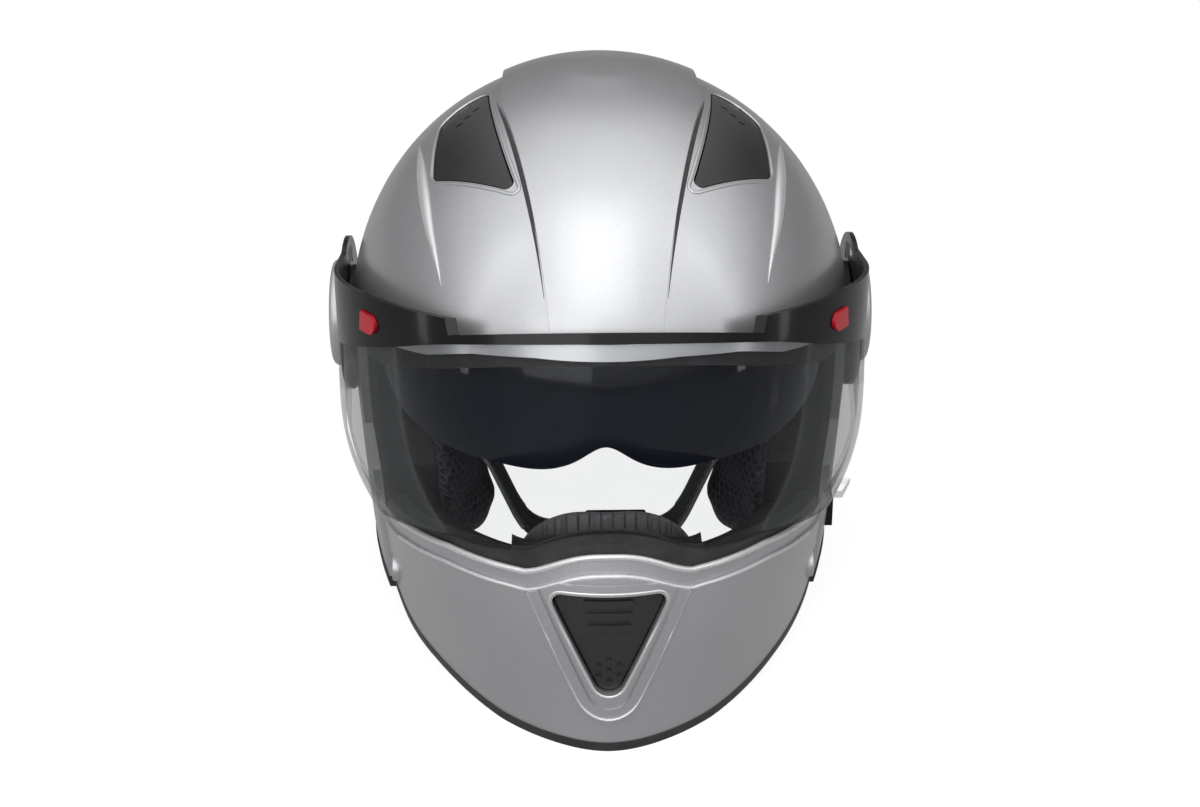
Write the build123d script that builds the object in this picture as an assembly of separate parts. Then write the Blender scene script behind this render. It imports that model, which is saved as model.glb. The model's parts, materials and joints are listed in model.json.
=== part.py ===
from build123d import *
import os
from math import asin, cos, pi, radians, sin, sqrt

# Modular motorcycle helmet, in millimetres. The model is built about the face
# shield's pivot axis: X runs to the wearer's left, -Y is forward, Z is up.
# At the end it is moved so that its origin is the middle of its footprint.

# Outer shell: half an egg whose front and rear are stretched apart
shell_half_width = 125.0
shell_front = 151.0
shell_rear = 165.0
shell_crown = 124.5
shell_wall = 4.0
crown_fullness_share = 2.1
crown_profile_shares = (0.0, 0.3, 0.55, 0.74, 0.87, 0.95, 0.99, 1.0)
skirt_depth = 138.0
skirt_shares = ((0.0, 1.0, 1.0, 1.0), (0.13, 0.997, 1.0, 0.998), (0.45, 0.976, 1.0, 0.965),
                (0.75, 0.95, 0.985, 0.88), (1.0, 0.905, 0.96, 0.775))
stand_height = 134.0
rim_arch_height = 15.0
rim_trim_height = 6.0
rim_trim_lip = 1.0
seam_gap = 1.5
running_gap = 0.3
overrun = 40.0

# Eye port, seen from the side: forward distance and height of each corner
port_brow_front = 141.0
port_brow_height = 43.0
port_side_forward = 47.0
port_side_height = 8.0
cheek_forward = 55.5
brow_trim_height = 7.0
brow_trim_proud = 0.8
brow_trim_end_forward = 90.0
port_seal_height = 3.0

# Raised band over the crown
band_rise = 3.5
band_rear_rise = 2.5
band_crown_half = 48.0
band_front_half = 22.0
band_rear_half = 36.0
band_front_reach = 152.0
band_rear_reach = 150.0

# Layers under the shell
foam_wall = 27.5
liner_wall = 6.5
foam_rim_height = 25.0
port_seal_lap = 4.0
port_seal_wall = 3.5
cheek_split_drop = 18.0

# Crown vents: place on the shell, lean of the flat they sit on, outline
vent_side = 62.0
vent_forward = 35.0
vent_height = 100.0
vent_lean = 26.1
vent_pitch = 13.7
vent_length = 99.0
vent_width = 40.0
vent_outline_shares = ((-0.43, -0.31), (-0.445, 0.06), (-0.35, 0.37), (0.185, 0.52), (0.575, -0.465))
vent_corner_radius = 3.5
vent_gap = 1.0
vent_cover_sink = 0.6
vent_cover_wall = 2.4
vent_tray_rim = 2.4
tray_box_length = 42.0
tray_box_width = 22.0
tray_box_centre = -3.0
tray_box_depth = 8.5
tray_floor_wall = 2.0
shutter_length = 24.0
shutter_width = 16.0
shutter_wall = 1.8
shutter_knob = 3.0
tray_window_length = 11.0
tray_window_width = 9.0
cover_slots = 3
cover_slot_length = 3.5
cover_slot_width = 1.8
cover_slot_pitch = 4.8
cover_slot_step = 3.85
cover_slot_forward = -19.7
cover_slot_outward = 4.1

# Rear exhaust
exhaust_half_width = 34.0
exhaust_low = 34.0
exhaust_height = 34.0
exhaust_rise = 2.2
exhaust_slot_height = 4.0
exhaust_slot_half = 24.0
exhaust_slots = 3

# Face shield: half width and forward reach at each height
shield_wall = 2.4
shield_levels = ((72.0, 128.4, 137.0), (48.0, 128.4, 150.0), (0.0, 128.4, 164.0), (-30.0, 128.1, 171.0),
                 (-43.0, 126.0, 172.5), (-58.0, 120.5, 173.5), (-90.0, 109.0, 173.5))
shield_flat_forward = 40.0
ear_radius = 39.0
ear_window_radius = 30.0
ear_window_width = 8.0
shield_frame_top = ((150.0, 51.5), (133.5, 43.8), (131.0, 51.0), (95.0, 49.0), (52.0, 43.0))
shield_frame_low = ((52.0, 7.0), (95.0, 22.0), (114.0, 30.0), (131.0, 38.5), (150.0, 46.0))
cover_disc_radius = 27.0
cover_disc_wall = 6.5
cover_disc_edge = 2.0
pivot_pin_radius = 5.9
pivot_fit = 0.1
pivot_screw_radius = 2.5
pivot_screw_head = 5.0
pivot_screw_slot = 1.2

# Lower edge of the shield over the lip of the chin guard
lip_line = ((57.0, -79.0), (83.0, -71.0), (115.0, -61.5), (148.0, -53.0), (176.0, -49.5))
lip_hump_half = 43.0
lip_hump_height = -38.6
lip_seal_height = 4.5
lip_seal_reach = 13.0
shield_edge_gap = 1.0

# Red release buttons on the shield arms
release_length = 12.0
release_height = 9.0
release_wall = 3.0
release_forward = 101.0
release_rise = 37.0
release_proud = 1.6

# Lift tab on the shield
tab_length = 16.0
tab_height = 7.0
tab_wall = 4.0
tab_forward = 84.0

# Sun visor, turned about its own hinge
sun_hinge_forward = 12.0
sun_hinge_height = -8.0
sun_radius = 119.0
sun_half_width = 115.0
sun_wall = 2.0
sun_cut_half = 104.5
sun_top_height = 31.0
sun_low_height = -26.5
sun_nose_height = -13.0
sun_nose_half = 22.0
sun_clearance = 0.9
sun_sweep_low = -35.0
sun_sweep_high = 70.0
sun_sweep_side = 92.0
sun_sweep_arm = 112.0
sun_arm_wall = 2.6
sun_arm_radius = 50.0
sun_arm_width = 16.0
sun_pin_radius = 3.5
sun_pin_reach = 5.0
sun_pin_fit = 0.08
sun_bracket_radius = 13.0
sun_side_share = 0.81
slider_travel = 25.0
slider_length = 20.0
slider_height = 9.0
slider_wall = 3.0
slider_drop = 96.0
slider_forward = 12.0
slider_track_length = 56.0
slider_track_height = 16.0
slider_stem = 4.0
slider_side_share = 0.945
slider_slot_share = 0.865

# Chin guard: half width, forward reach and fullness (2 is an ellipse, less is more pointed) at each height
chin_wall = 4.0
chin_levels = ((-30.0, 118.5, 185.0, 2.0), (-50.0, 118.0, 188.5, 2.0), (-78.0, 116.5, 191.0, 1.95),
               (-105.0, 114.5, 190.5, 1.85), (-140.0, 112.0, 191.5, 1.72))
chin_bow_steps = 12
chin_bottom_line = ((57.0, -127.0), (120.0, -129.5), (165.0, -134.0), (230.0, -134.0))
chin_liner_wall = 26.5
chin_trim_height = 4.0
lip_band_height = 7.5
lip_band_step = 1.5
bezel_top_half = 41.0
bezel_top_height = -44.0
bezel_low_height = -140.0
bezel_corner_radius = 4.0
bezel_low_radius = 15.0
bezel_rise = 2.0
bezel_groove = 1.6
hole_top_half = 27.0
hole_top_height = -55.0
hole_low_height = -113.7
hole_corner_radius = 4.0
hole_low_radius = 7.0
flap_gap = 1.1
flap_wall = 2.2
flap_sink = 1.5
flap_rib_length = 22.0
flap_rib_height = 3.2
flap_rib_rise = 1.4
flap_rib_pitch = 5.8
flap_ribs = 3
flap_dot_radius = 1.1
flap_dot_pitch = 5.5
flap_pin_radius = 1.5
mesh_wall = 1.6
chin_button_radius = 7.0
chin_button_forward = 74.0
chin_button_height = -106.0
chin_button_travel = 3.0
chin_button_proud = 0.8
chin_button_depth = 6.0
hook_length = 16.0
hook_height = 18.0
hook_wall = 3.5
hook_drop = 98.0
hook_side = 92.0
receiver_wall = 3.0

# Breath guard
breath_top = -34.6
breath_low = -72.0
breath_line = ((14.0, -35.4), (31.5, -46.0), (40.0, -62.0))
breath_wall = 3.0
breath_rib_pitch = 7.0
breath_rib_wall = 1.2
breath_ribs = 9

# Padding and strap
cheek_pad_forward = 16.5
cheek_pad_drop = 70.0
cheek_pad_side = 104.0
cheek_pad_thick = 48.0
cheek_pad_length = 52.0
cheek_pad_tall = 50.0
cheek_lobe_place = (94.0, 23.0, 92.0)
cheek_lobe_reach = (42.0, 32.0, 26.0)
neck_roll_radius = 9.5
neck_roll_half = 92.0
neck_roll_rear = 112.0
strap_wall = 2.0
strap_width = 24.0
strap_forward = 22.0
strap_top_side = 86.5
strap_top_drop = 36.0
strap_anchor_length = 15.0
strap_knee_side = 60.0
strap_knee_drop = 63.0
strap_low_side = 41.0
strap_low_drop = 107.5
strap_end_side = 17.0
strap_end_drop = 115.5
strap_bend = 6.0
strap_slot_gap = 0.5
buckle_length = 32.0
buckle_height = 9.0
buckle_depth = 28.0
buckle_wall = 2.0
lever_length = 24.0
lever_wall = 3.0
lever_pin_radius = 1.6
tongue_length = 29.0
rivet_radius = 5.5
rivet_wall = 1.6
rivet_shank = 3.0
button_edge = 0.8

parts = {}
SIDES = ((1, "left"), (-1, "right"))


def side_sketch(points, radius=0.0):
    """Closed outline of (forward, height) points, standing in the side view."""
    flat = make_face(Polyline(*[(-forward, height) for forward, height in points], close=True))
    if radius:
        flat = fillet(flat.vertices(), radius)
    return Plane.YZ * flat


def side_prism(points, low=None, high=None, radius=0.0):
    """Side outline carried across the helmet from x = low to x = high."""
    reach = shell_half_width + overrun
    low = -reach if low is None else low
    high = reach if high is None else high
    return Pos(low, 0, 0) * extrude(side_sketch(points, radius), amount=high - low, dir=(1, 0, 0))


def front_prism(points, near, far, radius=0.0):
    """Front outline of (x, z) points, carried forward from y = -near to y = -far."""
    flat = make_face(Polyline(*points, close=True))
    if radius:
        flat = fillet(flat.vertices(), radius)
    plane = Plane(origin=(0, -near, 0), x_dir=(1, 0, 0), z_dir=(0, -1, 0))
    return extrude(plane * flat, amount=far - near)


def plan_prism(points, low, high):
    """Plan outline of (x, forward) points between two heights."""
    flat = make_face(Polyline(*[(x, -forward) for x, forward in points], close=True))
    return extrude(Pos(0, 0, low) * flat, amount=high - low)


def slab(low, high):
    """Everything between two heights."""
    reach = shell_rear + shell_front + overrun
    return Pos(0, 0, (low + high) / 2) * Box(reach * 2, reach * 2, high - low)


def dome_half(half_width, reach, crown):
    """Half of the dome: the crown profile turned half a turn and stretched to its reach."""
    points = [(half_width * sqrt(1 - share ** crown_fullness_share), crown * share)
              for share in crown_profile_shares]
    rim = Spline(*points, tangents=[(0, 1), (-1, 0)])
    closing = Polyline(points[-1], (0, 0), points[0])
    profile = Plane.XZ * make_face(rim + closing)
    turned = revolve(profile, axis=Axis.Z, revolution_arc=180)
    return scale(turned, by=(1, reach / half_width, 1))


def egg(half_width, front, rear, height):
    """Egg-shaped plan section at one height."""
    back = EllipticalCenterArc((0, 0), half_width, rear, 0, arc_size=180)
    face = EllipticalCenterArc((0, 0), half_width, front, 180, arc_size=180)
    return Pos(0, 0, height) * make_face(back + face)


def egg_block(grow=0.0, grow_front=None, grow_rear=None, grow_crown=None):
    """Solid egg, the shell's outside moved out by grow, or by its own amount each way."""
    half_width = shell_half_width + grow
    front = shell_front + (grow if grow_front is None else grow_front)
    rear = shell_rear + (grow if grow_rear is None else grow_rear)
    crown = shell_crown + (grow if grow_crown is None else grow_crown)
    back = dome_half(half_width, rear, crown)
    face = dome_half(half_width, front, crown)
    if back.bounding_box().center().Y < 0:
        back = Rot(0, 0, 180) * back
    if face.bounding_box().center().Y > 0:
        face = Rot(0, 0, 180) * face
    sections = [egg(half_width * w, front * f, rear * r, -skirt_depth * drop)
                for drop, w, f, r in skirt_shares]
    return back + face + loft(sections)


def bow_section(half_width, front, height, back, start=0.0):
    """Half-ellipse bow from y = -start, with straight sides that run back to y = back."""
    bow = EllipticalCenterArc((0, -start), half_width, front - start, 180, arc_size=180)
    corners = [(half_width, -start), (half_width, back), (-half_width, back), (-half_width, -start)]
    sides = Polyline(*corners) if back + start else Polyline(corners[0], corners[-1])
    return Pos(0, 0, height) * make_face(bow + sides)


def bow_block(levels, grow=0.0, back=0.0, start=0.0):
    """Loft through bow sections, moved out by grow."""
    sections = [bow_section(w + grow, f + grow, z, back, start) for z, w, f in levels]
    return loft(sections)


def shield_block(grow=0.0, back=0.0):
    """Block with the shield's outside, flat beside the pivots."""
    return bow_block(shield_levels, grow, ear_radius + overrun + back, shield_flat_forward)


def bow_reach(level, forward):
    """Half width of a chin guard level at a forward distance."""
    _, half_width, front, fullness = level
    return half_width * (1 - (forward / front) ** fullness) ** (1 / fullness)


def chin_section(half_width, front, height, back, fullness):
    """Bow of the chin guard at one height, with straight sides that run back to y = back."""
    points = []
    for step in range(chin_bow_steps + 1):
        turn = pi * step / chin_bow_steps
        across = abs(cos(turn)) ** (2 / fullness)
        along = abs(sin(turn)) ** (2 / fullness)
        points.append((half_width * (across if 2 * step < chin_bow_steps else -across), -front * along))
    bow = Spline(*points, tangents=[(0, -1), (0, 1)])
    corners = [points[0], (half_width, back), (-half_width, back), points[-1]]
    sides = Polyline(*corners) if back else Polyline(corners[0], corners[-1])
    return Pos(0, 0, height) * make_face(bow + sides)


def chin_block(grow=0.0, back=0.0, levels=None):
    """Block with the chin guard's outside, moved out by grow."""
    sections = [chin_section(w + grow, f + grow, z, back, fullness) for z, w, f, fullness in levels or chin_levels]
    return loft(sections)


def largest(shape):
    """The biggest solid of a cut, without slivers."""
    return max(shape.solids(), key=lambda solid: solid.volume)


# Blocks shared by the layers
outer_egg = egg_block()
wall_egg = egg_block(-shell_wall)
foam_out_egg = egg_block(-shell_wall - running_gap)
foam_in_egg = egg_block(-shell_wall - running_gap - foam_wall)
liner_out_egg = egg_block(-shell_wall - 2 * running_gap - foam_wall)
liner_in_egg = egg_block(-shell_wall - 2 * running_gap - foam_wall - liner_wall)

tray_over_egg = egg_block(-vent_cover_sink - vent_cover_wall - running_gap)
tray_under_egg = egg_block(-vent_cover_sink - vent_cover_wall - running_gap - vent_tray_rim)
tray_seat_egg = egg_block(-vent_cover_sink - vent_cover_wall - 2 * running_gap - vent_tray_rim)

# Side-view lines shared by shell, trims and guard
rear_reach = shell_rear + overrun
front_reach = shell_front + 2 * overrun
rim_low = -stand_height


def rim_sketch(lift):
    """Region above the arched lower rim, lifted by some height."""
    arch = ThreePointArc((-cheek_forward, rim_low + lift + rim_trim_height),
                         (cheek_forward / 2, rim_low + rim_arch_height + lift),
                         (shell_rear * 0.64, rim_low + lift))
    top = shell_crown + overrun
    rest = Polyline((shell_rear * 0.64, rim_low + lift), (rear_reach, rim_low + lift),
                    (rear_reach, top), (-front_reach, top),
                    (-front_reach, rim_low + lift + rim_trim_height),
                    (-cheek_forward, rim_low + lift + rim_trim_height))
    return Plane.YZ * make_face(arch + rest)


def above_rim(lift):
    reach = shell_half_width + overrun
    return extrude(rim_sketch(lift), amount=reach, both=True)


def port_line(drop=0.0, back=0.0):
    """Brow and side of the eye port, from front to the cheek's foot."""
    return [(port_brow_front - back, port_brow_height - drop),
            (port_brow_front * 0.89 - back, port_brow_height * 0.84 - drop),
            (port_brow_front * 0.78 - back, port_brow_height * 0.67 - drop),
            (brow_trim_end_forward - back, port_brow_height * 0.48 - drop),
            (port_side_forward * 1.49 - back, port_brow_height * 0.31 - drop),
            (port_side_forward - back, port_side_height - drop)]


def port_prism(drop=0.0, back=0.0):
    """Everything in front of the eye port's edge."""
    low = rim_low - overrun
    points = [(front_reach, port_brow_height - drop)] + port_line(drop, back)
    points += [(port_side_forward - back, -stand_height * 0.3), (cheek_forward - back, -stand_height * 0.46),
               (cheek_forward - back, low), (front_reach, low)]
    return side_prism(points)


port = port_prism()


def vent_plane(side):
    """Plane of a crown vent: X forward, Y outward, Z out of the shell."""
    lean, pitch = radians(vent_lean), radians(vent_pitch)
    normal = (side * sin(lean) * cos(pitch), -sin(pitch), cos(lean) * cos(pitch))
    forward = Vector(0, -1, 0)
    along = forward - Vector(*normal) * forward.dot(Vector(*normal))
    return Plane(origin=(side * vent_side, -vent_forward, vent_height), x_dir=along, z_dir=normal)


def vent_prism(side, shrink, low=-overrun, high=overrun):
    """Prism through the shell with the vent's outline, shrunk all round."""
    points = [(u * vent_length, side * v * vent_width) for u, v in vent_outline_shares]
    flat = make_face(Polyline(*points, close=True))
    flat = fillet(flat.vertices(), vent_corner_radius)
    if shrink:
        flat = offset(flat, amount=-shrink)
    return vent_plane(side) * (Pos(0, 0, low) * extrude(flat, amount=high - low))


def vent_box(side, length, width, low, high, centre):
    block = Pos(centre, 0, (low + high) / 2) * Box(length, width, high - low)
    return vent_plane(side) * block


def make_shell():
    """Outer shell with its eye port, vent holes, crown band, exhaust and slider openings."""
    shell = outer_egg - wall_egg
    band_egg = egg_block(0.0, 0.0, band_rear_rise, band_rise)
    half_rear = band_rear_half
    band = band_egg & plan_prism([(-band_front_half, band_front_reach), (band_front_half, band_front_reach),
                                  (band_crown_half, band_crown_half / 2), (band_crown_half, -band_crown_half),
                                  (half_rear, -band_rear_reach), (-half_rear, -band_rear_reach),
                                  (-band_crown_half, -band_crown_half), (-band_crown_half, band_crown_half / 2)],
                                 port_brow_height, shell_crown + overrun)
    band -= egg_block(-shell_wall / 2)
    shell += band
    shell -= port
    shell &= above_rim(rim_trim_height)
    for side, _ in SIDES:
        shell -= vent_prism(side, 0.0, -vent_length / 4)
    shell -= exhaust_prism(0.0)
    shell -= slider_slot_box(running_gap)
    return largest(shell)


def exhaust_prism(shrink):
    points = [(-exhaust_half_width + shrink, exhaust_low + shrink),
              (exhaust_half_width - shrink, exhaust_low + shrink),
              (exhaust_half_width * 0.8 - shrink, exhaust_low + exhaust_height - shrink),
              (-exhaust_half_width * 0.8 + shrink, exhaust_low + exhaust_height - shrink)]
    return front_prism(points, -shell_rear - overrun, -shell_rear / 2, vent_corner_radius)


def slider_slot_box(gap):
    length = slider_track_length + 2 * gap
    height = slider_track_height + 2 * gap
    inner = shell_half_width * slider_slot_share
    outer = shell_half_width + overrun
    return Pos((inner + outer) / 2, -slider_forward, -slider_drop) * Box(outer - inner, length, height)


def make_rear_exhaust():
    body = (egg_block(exhaust_rise) - wall_egg) & exhaust_prism(running_gap)
    pitch = exhaust_height / (exhaust_slots + 1)
    for index in range(exhaust_slots):
        height = exhaust_low + pitch * (index + 1)
        body -= Pos(0, shell_rear, height) * Box(2 * exhaust_slot_half, 2 * overrun, exhaust_slot_height)
    return largest(body)


def make_rim_trim():
    """Rubber channel on the lower rim of shell and cheeks."""
    lip = egg_block(rim_trim_lip) - egg_block(-shell_wall - rim_trim_lip)
    trim = (lip & above_rim(0)) - above_rim(rim_trim_height)
    return largest(trim - port)


def make_brow_trim():
    """Bright crescent under the brow that tapers to points at its ends."""
    low = port_brow_height - brow_trim_height
    line = port_line()
    points = [(front_reach, port_brow_height), line[0], line[1], line[2], line[3],
              (port_brow_front * 0.8, low * 0.71), (port_brow_front * 0.91, low * 0.91),
              (port_brow_front, low), (front_reach, low)]
    ring = egg_block(brow_trim_proud) - wall_egg
    strip = ring & side_prism(points)
    return largest(strip & plan_prism([(-shell_half_width, 0), (shell_half_width, 0),
                                       (shell_half_width, front_reach), (-shell_half_width, front_reach)],
                                      -overrun, shell_crown))


def make_port_seal():
    """Rubber seal round the inside of the eye port's edge."""
    ring = wall_egg - egg_block(-shell_wall - port_seal_wall)
    seal = ring & port_prism(-port_seal_lap, port_seal_lap)
    seal -= port_prism(brow_trim_height + port_seal_height, -port_seal_height)
    front_only = plan_prism([(-shell_half_width, 0), (shell_half_width, 0),
                             (shell_half_width, front_reach), (-shell_half_width, front_reach)],
                            lip_line[0][1] + lip_seal_height + seam_gap, shell_crown)
    return largest(seal & front_only)


def spheroid(half_width, radius):
    """Spheroid about the sun visor's hinge axis."""
    ball = scale(Sphere(radius), by=(half_width / radius, 1, 1))
    return Pos(0, -sun_hinge_forward, sun_hinge_height) * ball


def sun_sector(low, high, radius, reach):
    """Wedge about the sun visor's hinge between two angles above the horizontal."""
    start, end = radians(low), radians(high)
    middle = (start + end) / 2
    far = 2 * radius
    points = [(0, 0), (far * cos(start), far * sin(start)), (far * 1.4 * cos(middle), far * 1.4 * sin(middle)),
              (far * cos(end), far * sin(end))]
    shifted = [(forward + sun_hinge_forward, height + sun_hinge_height) for forward, height in points]
    return side_prism(shifted, -reach, reach)


def x_disc(radius, low, high, forward=0.0, height=0.0):
    """Disc about an axis along X from x = low to x = high."""
    return Pos((low + high) / 2, -forward, height) * Rot(0, 90, 0) * Cylinder(radius, abs(high - low))


def sun_space():
    """Space that the sun visor sweeps through the foam, with its clearance."""
    clear = sun_clearance
    skin = spheroid(sun_half_width + clear, sun_radius + clear)
    skin -= spheroid(sun_half_width - sun_wall - clear, sun_radius - sun_wall - clear)
    side_reach = sun_cut_half * sun_side_share
    sweep = skin & sun_sector(sun_sweep_low, sun_sweep_high, sun_radius, side_reach)
    tall = sun_sector(sun_sweep_low, sun_sweep_side, sun_radius, sun_cut_half + clear)
    sweep += (skin & tall) - sun_sector(-90, 100, sun_radius, side_reach)
    for side, _ in SIDES:
        near = side * (sun_cut_half - clear)
        far = side * (sun_cut_half + sun_arm_wall + clear)
        low, high = min(near, far), max(near, far)
        zone = x_disc(sun_arm_radius + 3 * clear, low, high, sun_hinge_forward, sun_hinge_height)
        sweep += zone & sun_sector(sun_sweep_low, sun_sweep_arm, sun_radius, shell_half_width)
        end = side * (sun_cut_half + sun_arm_wall + sun_pin_reach + clear)
        low, high = min(near, end), max(near, end)
        sweep += x_disc(sun_bracket_radius + running_gap, low, high, sun_hinge_forward, sun_hinge_height)
    return sweep


sun_swept = sun_space()


def make_foam_crown():
    """Moulded foam cap with the sun visor's slot and seats for the vent trays."""
    foam = foam_out_egg - foam_in_egg
    foam -= port_prism(-port_seal_lap - running_gap, port_seal_lap + running_gap)
    foam &= slab(-cheek_split_drop + running_gap, shell_crown + overrun)
    foam -= sun_swept
    for side, _ in SIDES:
        rim = vent_prism(side, vent_gap - running_gap, -overrun / 2) - tray_seat_egg
        foam -= rim
        foam -= vent_box(side, tray_box_length + 2 * running_gap, tray_box_width + 2 * running_gap,
                         -tray_box_depth - running_gap, overrun, tray_box_centre)
    return largest(foam)


def make_foam_cheek(side):
    """Side foam between the crown foam and the rim."""
    foam = foam_out_egg - foam_in_egg
    foam -= port_prism(-port_seal_lap - running_gap, port_seal_lap + running_gap)
    foam &= slab(rim_low + foam_rim_height, -cheek_split_drop)
    rear = -shell_rear * 0.2
    reach = shell_half_width + overrun
    half = plan_prism([(0, rear), (side * reach, rear), (side * reach, front_reach), (0, front_reach)],
                      rim_low - overrun, shell_crown)
    foam &= half
    foam -= sun_swept
    foam -= Pos(shell_half_width, -slider_forward, -slider_drop) * Box(
        2 * overrun * 0.42, slider_track_length + 4 * running_gap, slider_track_height + 4 * running_gap)
    foam -= receiver_block(side, running_gap)
    foam -= rivet_shank_disc(side, running_gap)
    return largest(foam)


def make_crown_liner():
    """Fabric cap inside the foam."""
    liner = liner_out_egg - liner_in_egg
    liner -= port_prism(-port_seal_lap - running_gap, port_seal_lap + running_gap)
    liner &= slab(-cheek_split_drop + running_gap, shell_crown)
    return largest(liner - sun_swept)


def make_rear_liner():
    """Fabric pad behind the head, below the cap."""
    pad = foam_out_egg - liner_in_egg
    pad &= slab(rim_low + foam_rim_height, -cheek_split_drop)
    reach = shell_half_width + overrun
    rear = shell_rear * 0.2 + running_gap
    return largest(pad & plan_prism([(-reach, -rear), (reach, -rear), (reach, -rear_reach), (-reach, -rear_reach)],
                                    rim_low, 0))


def make_cheek_pad(side):
    """Crowned cheek cushion against the side foam."""
    ball = scale(Sphere(cheek_pad_thick), by=(1, cheek_pad_length / cheek_pad_thick,
                                              cheek_pad_tall / cheek_pad_thick))
    pad = Pos(side * cheek_pad_side, -cheek_pad_forward, -cheek_pad_drop) * ball
    thick, length, tall = cheek_lobe_reach
    across, forward, drop = cheek_lobe_place
    lobe = scale(Sphere(thick), by=(1, length / thick, tall / thick))
    pad += Pos(side * across, -forward, -drop) * lobe
    pad &= liner_out_egg
    pad &= slab(rim_low + foam_rim_height, -cheek_split_drop - running_gap)
    pad -= strap_solid(side, strap_slot_gap)
    pad -= rivet_head_disc(side, running_gap)
    pad -= rivet_shank_disc(side, running_gap)
    pad -= receiver_block(side, running_gap)
    return largest(pad)


def make_neck_roll():
    """Padded roll along the rear half of the neck opening."""
    height = rim_low + foam_rim_height - neck_roll_radius - running_gap
    path = Pos(0, 0, height) * EllipticalCenterArc((0, 0), neck_roll_half, neck_roll_rear, 4, arc_size=172)
    start = Plane(origin=path @ 0, z_dir=path % 0)
    return sweep(start * Circle(neck_roll_radius), path=path)


def make_vent_cover(side):
    """Lift-off cover, following the shell, with three slots near its rear."""
    cover = egg_block(-vent_cover_sink) - egg_block(-vent_cover_sink - vent_cover_wall)
    cover &= vent_prism(side, vent_gap, -vent_length / 4)
    for index in range(cover_slots):
        forward = cover_slot_forward - index * cover_slot_step
        outward = cover_slot_outward - index * cover_slot_pitch
        slot = Pos(forward, side * outward, 0) * Box(cover_slot_width, cover_slot_length, 2 * overrun)
        cover -= vent_plane(side) * slot
    return largest(cover)


def make_vent_tray(side):
    """Tray under the cover: a rim, a pocket for the shutter and a window into the foam."""
    rim = (tray_over_egg - tray_under_egg) & vent_prism(side, vent_gap, -overrun / 2)
    box = vent_box(side, tray_box_length, tray_box_width, -tray_box_depth, overrun, tray_box_centre)
    tray = rim + (box & tray_over_egg)
    floor = -tray_box_depth + tray_floor_wall
    wall = tray_floor_wall
    tray -= vent_box(side, tray_box_length - 2 * wall, tray_box_width - 2 * wall, floor, overrun, tray_box_centre)
    window_centre = tray_box_centre + (shutter_length - tray_box_length) / 2 + tray_window_length * 0.5
    tray -= vent_box(side, tray_window_length, tray_window_width, -overrun / 2, overrun, window_centre)
    return largest(tray)


def make_vent_shutter(side):
    """Flat shutter that slides forward over the tray's window."""
    floor = -tray_box_depth + tray_floor_wall + running_gap
    rear_end = tray_box_centre - tray_box_length / 2 + tray_floor_wall + running_gap
    centre = rear_end + shutter_length / 2
    plate = vent_box(side, shutter_length, shutter_width, floor, floor + shutter_wall, centre)
    knob = vent_box(side, shutter_knob, shutter_width / 2, floor + shutter_wall,
                    floor + 2 * shutter_wall, centre + shutter_length / 4)
    return plate + knob


shield_out = shield_block()
shield_in = shield_block(-shield_wall, shield_wall)
shield_skin = shield_out - shield_in


def ear_disc(radius):
    reach = shell_half_width + overrun
    return x_disc(radius, -reach, reach)


def shield_frame_lines():
    """Top and bottom line of the shield's black frame in the side view."""
    top = [(front_reach, shield_frame_top[0][1])] + list(shield_frame_top)
    low = list(shield_frame_low) + [(front_reach, shield_frame_low[-1][1])]
    return top, low


def make_shield_frame():
    """Black band over the lens, widened to an arm on each side, with an ear around each pivot."""
    top, low = shield_frame_lines()
    arm = [(0, ear_radius * 0.9)] + [(0, -ear_radius * 0.6)]
    region = side_prism(top + arm + low)
    region += ear_disc(ear_radius)
    frame = shield_skin & region
    window = ear_disc(ear_window_radius + ear_window_width / 2) - ear_disc(ear_window_radius - ear_window_width / 2)
    window &= side_prism([(-ear_radius * 0.35, 0), (-ear_radius * 0.35, 2 * ear_radius),
                          (ear_radius * 0.35, 2 * ear_radius), (ear_radius * 0.35, 0)])
    frame -= window
    frame -= ear_disc(pivot_pin_radius + pivot_fit)
    for side, _ in SIDES:
        frame -= release_block(side, running_gap, overrun)
    return largest(frame)


def lens_low_line():
    """Lower edge of the lens, above the lip seal."""
    lift = lip_seal_height + shield_edge_gap
    return [(forward, height + lift) for forward, height in lip_line]


def lip_hump(lift, near, far):
    """Front-view hump of the lip in the middle of the guard."""
    half = lip_hump_half
    base = lip_line[-1][1] - overrun / 4
    shoulder = lip_line[-1][1] + 0.02 * lip_hump_height + lift
    top = lip_hump_height + lift
    rise = Spline((half, shoulder), (half * 0.66, shoulder + (top - shoulder) * 0.37),
                  (half * 0.35, shoulder + (top - shoulder) * 0.83), (0, top),
                  (-half * 0.35, shoulder + (top - shoulder) * 0.83),
                  (-half * 0.66, shoulder + (top - shoulder) * 0.37), (-half, shoulder),
                  tangents=[(-1, 0), (-1, 0)])
    rest = Polyline((-half, shoulder), (-half, base), (half, base), (half, shoulder))
    plane = Plane(origin=(0, -near, 0), x_dir=(1, 0, 0), z_dir=(0, -1, 0))
    return extrude(plane * make_face(rise + rest), amount=far - near)


def below_lip(lift, near=0.0):
    """Region under the lip line, hump included."""
    low = rim_low - overrun
    line = [(forward, height + lift) for forward, height in lip_line]
    points = [(near, low), (near, line[0][1])] + line + [(front_reach, line[-1][1]), (front_reach, low)]
    return side_prism(points) + lip_hump(lift, shell_front * 0.7, front_reach)


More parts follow.
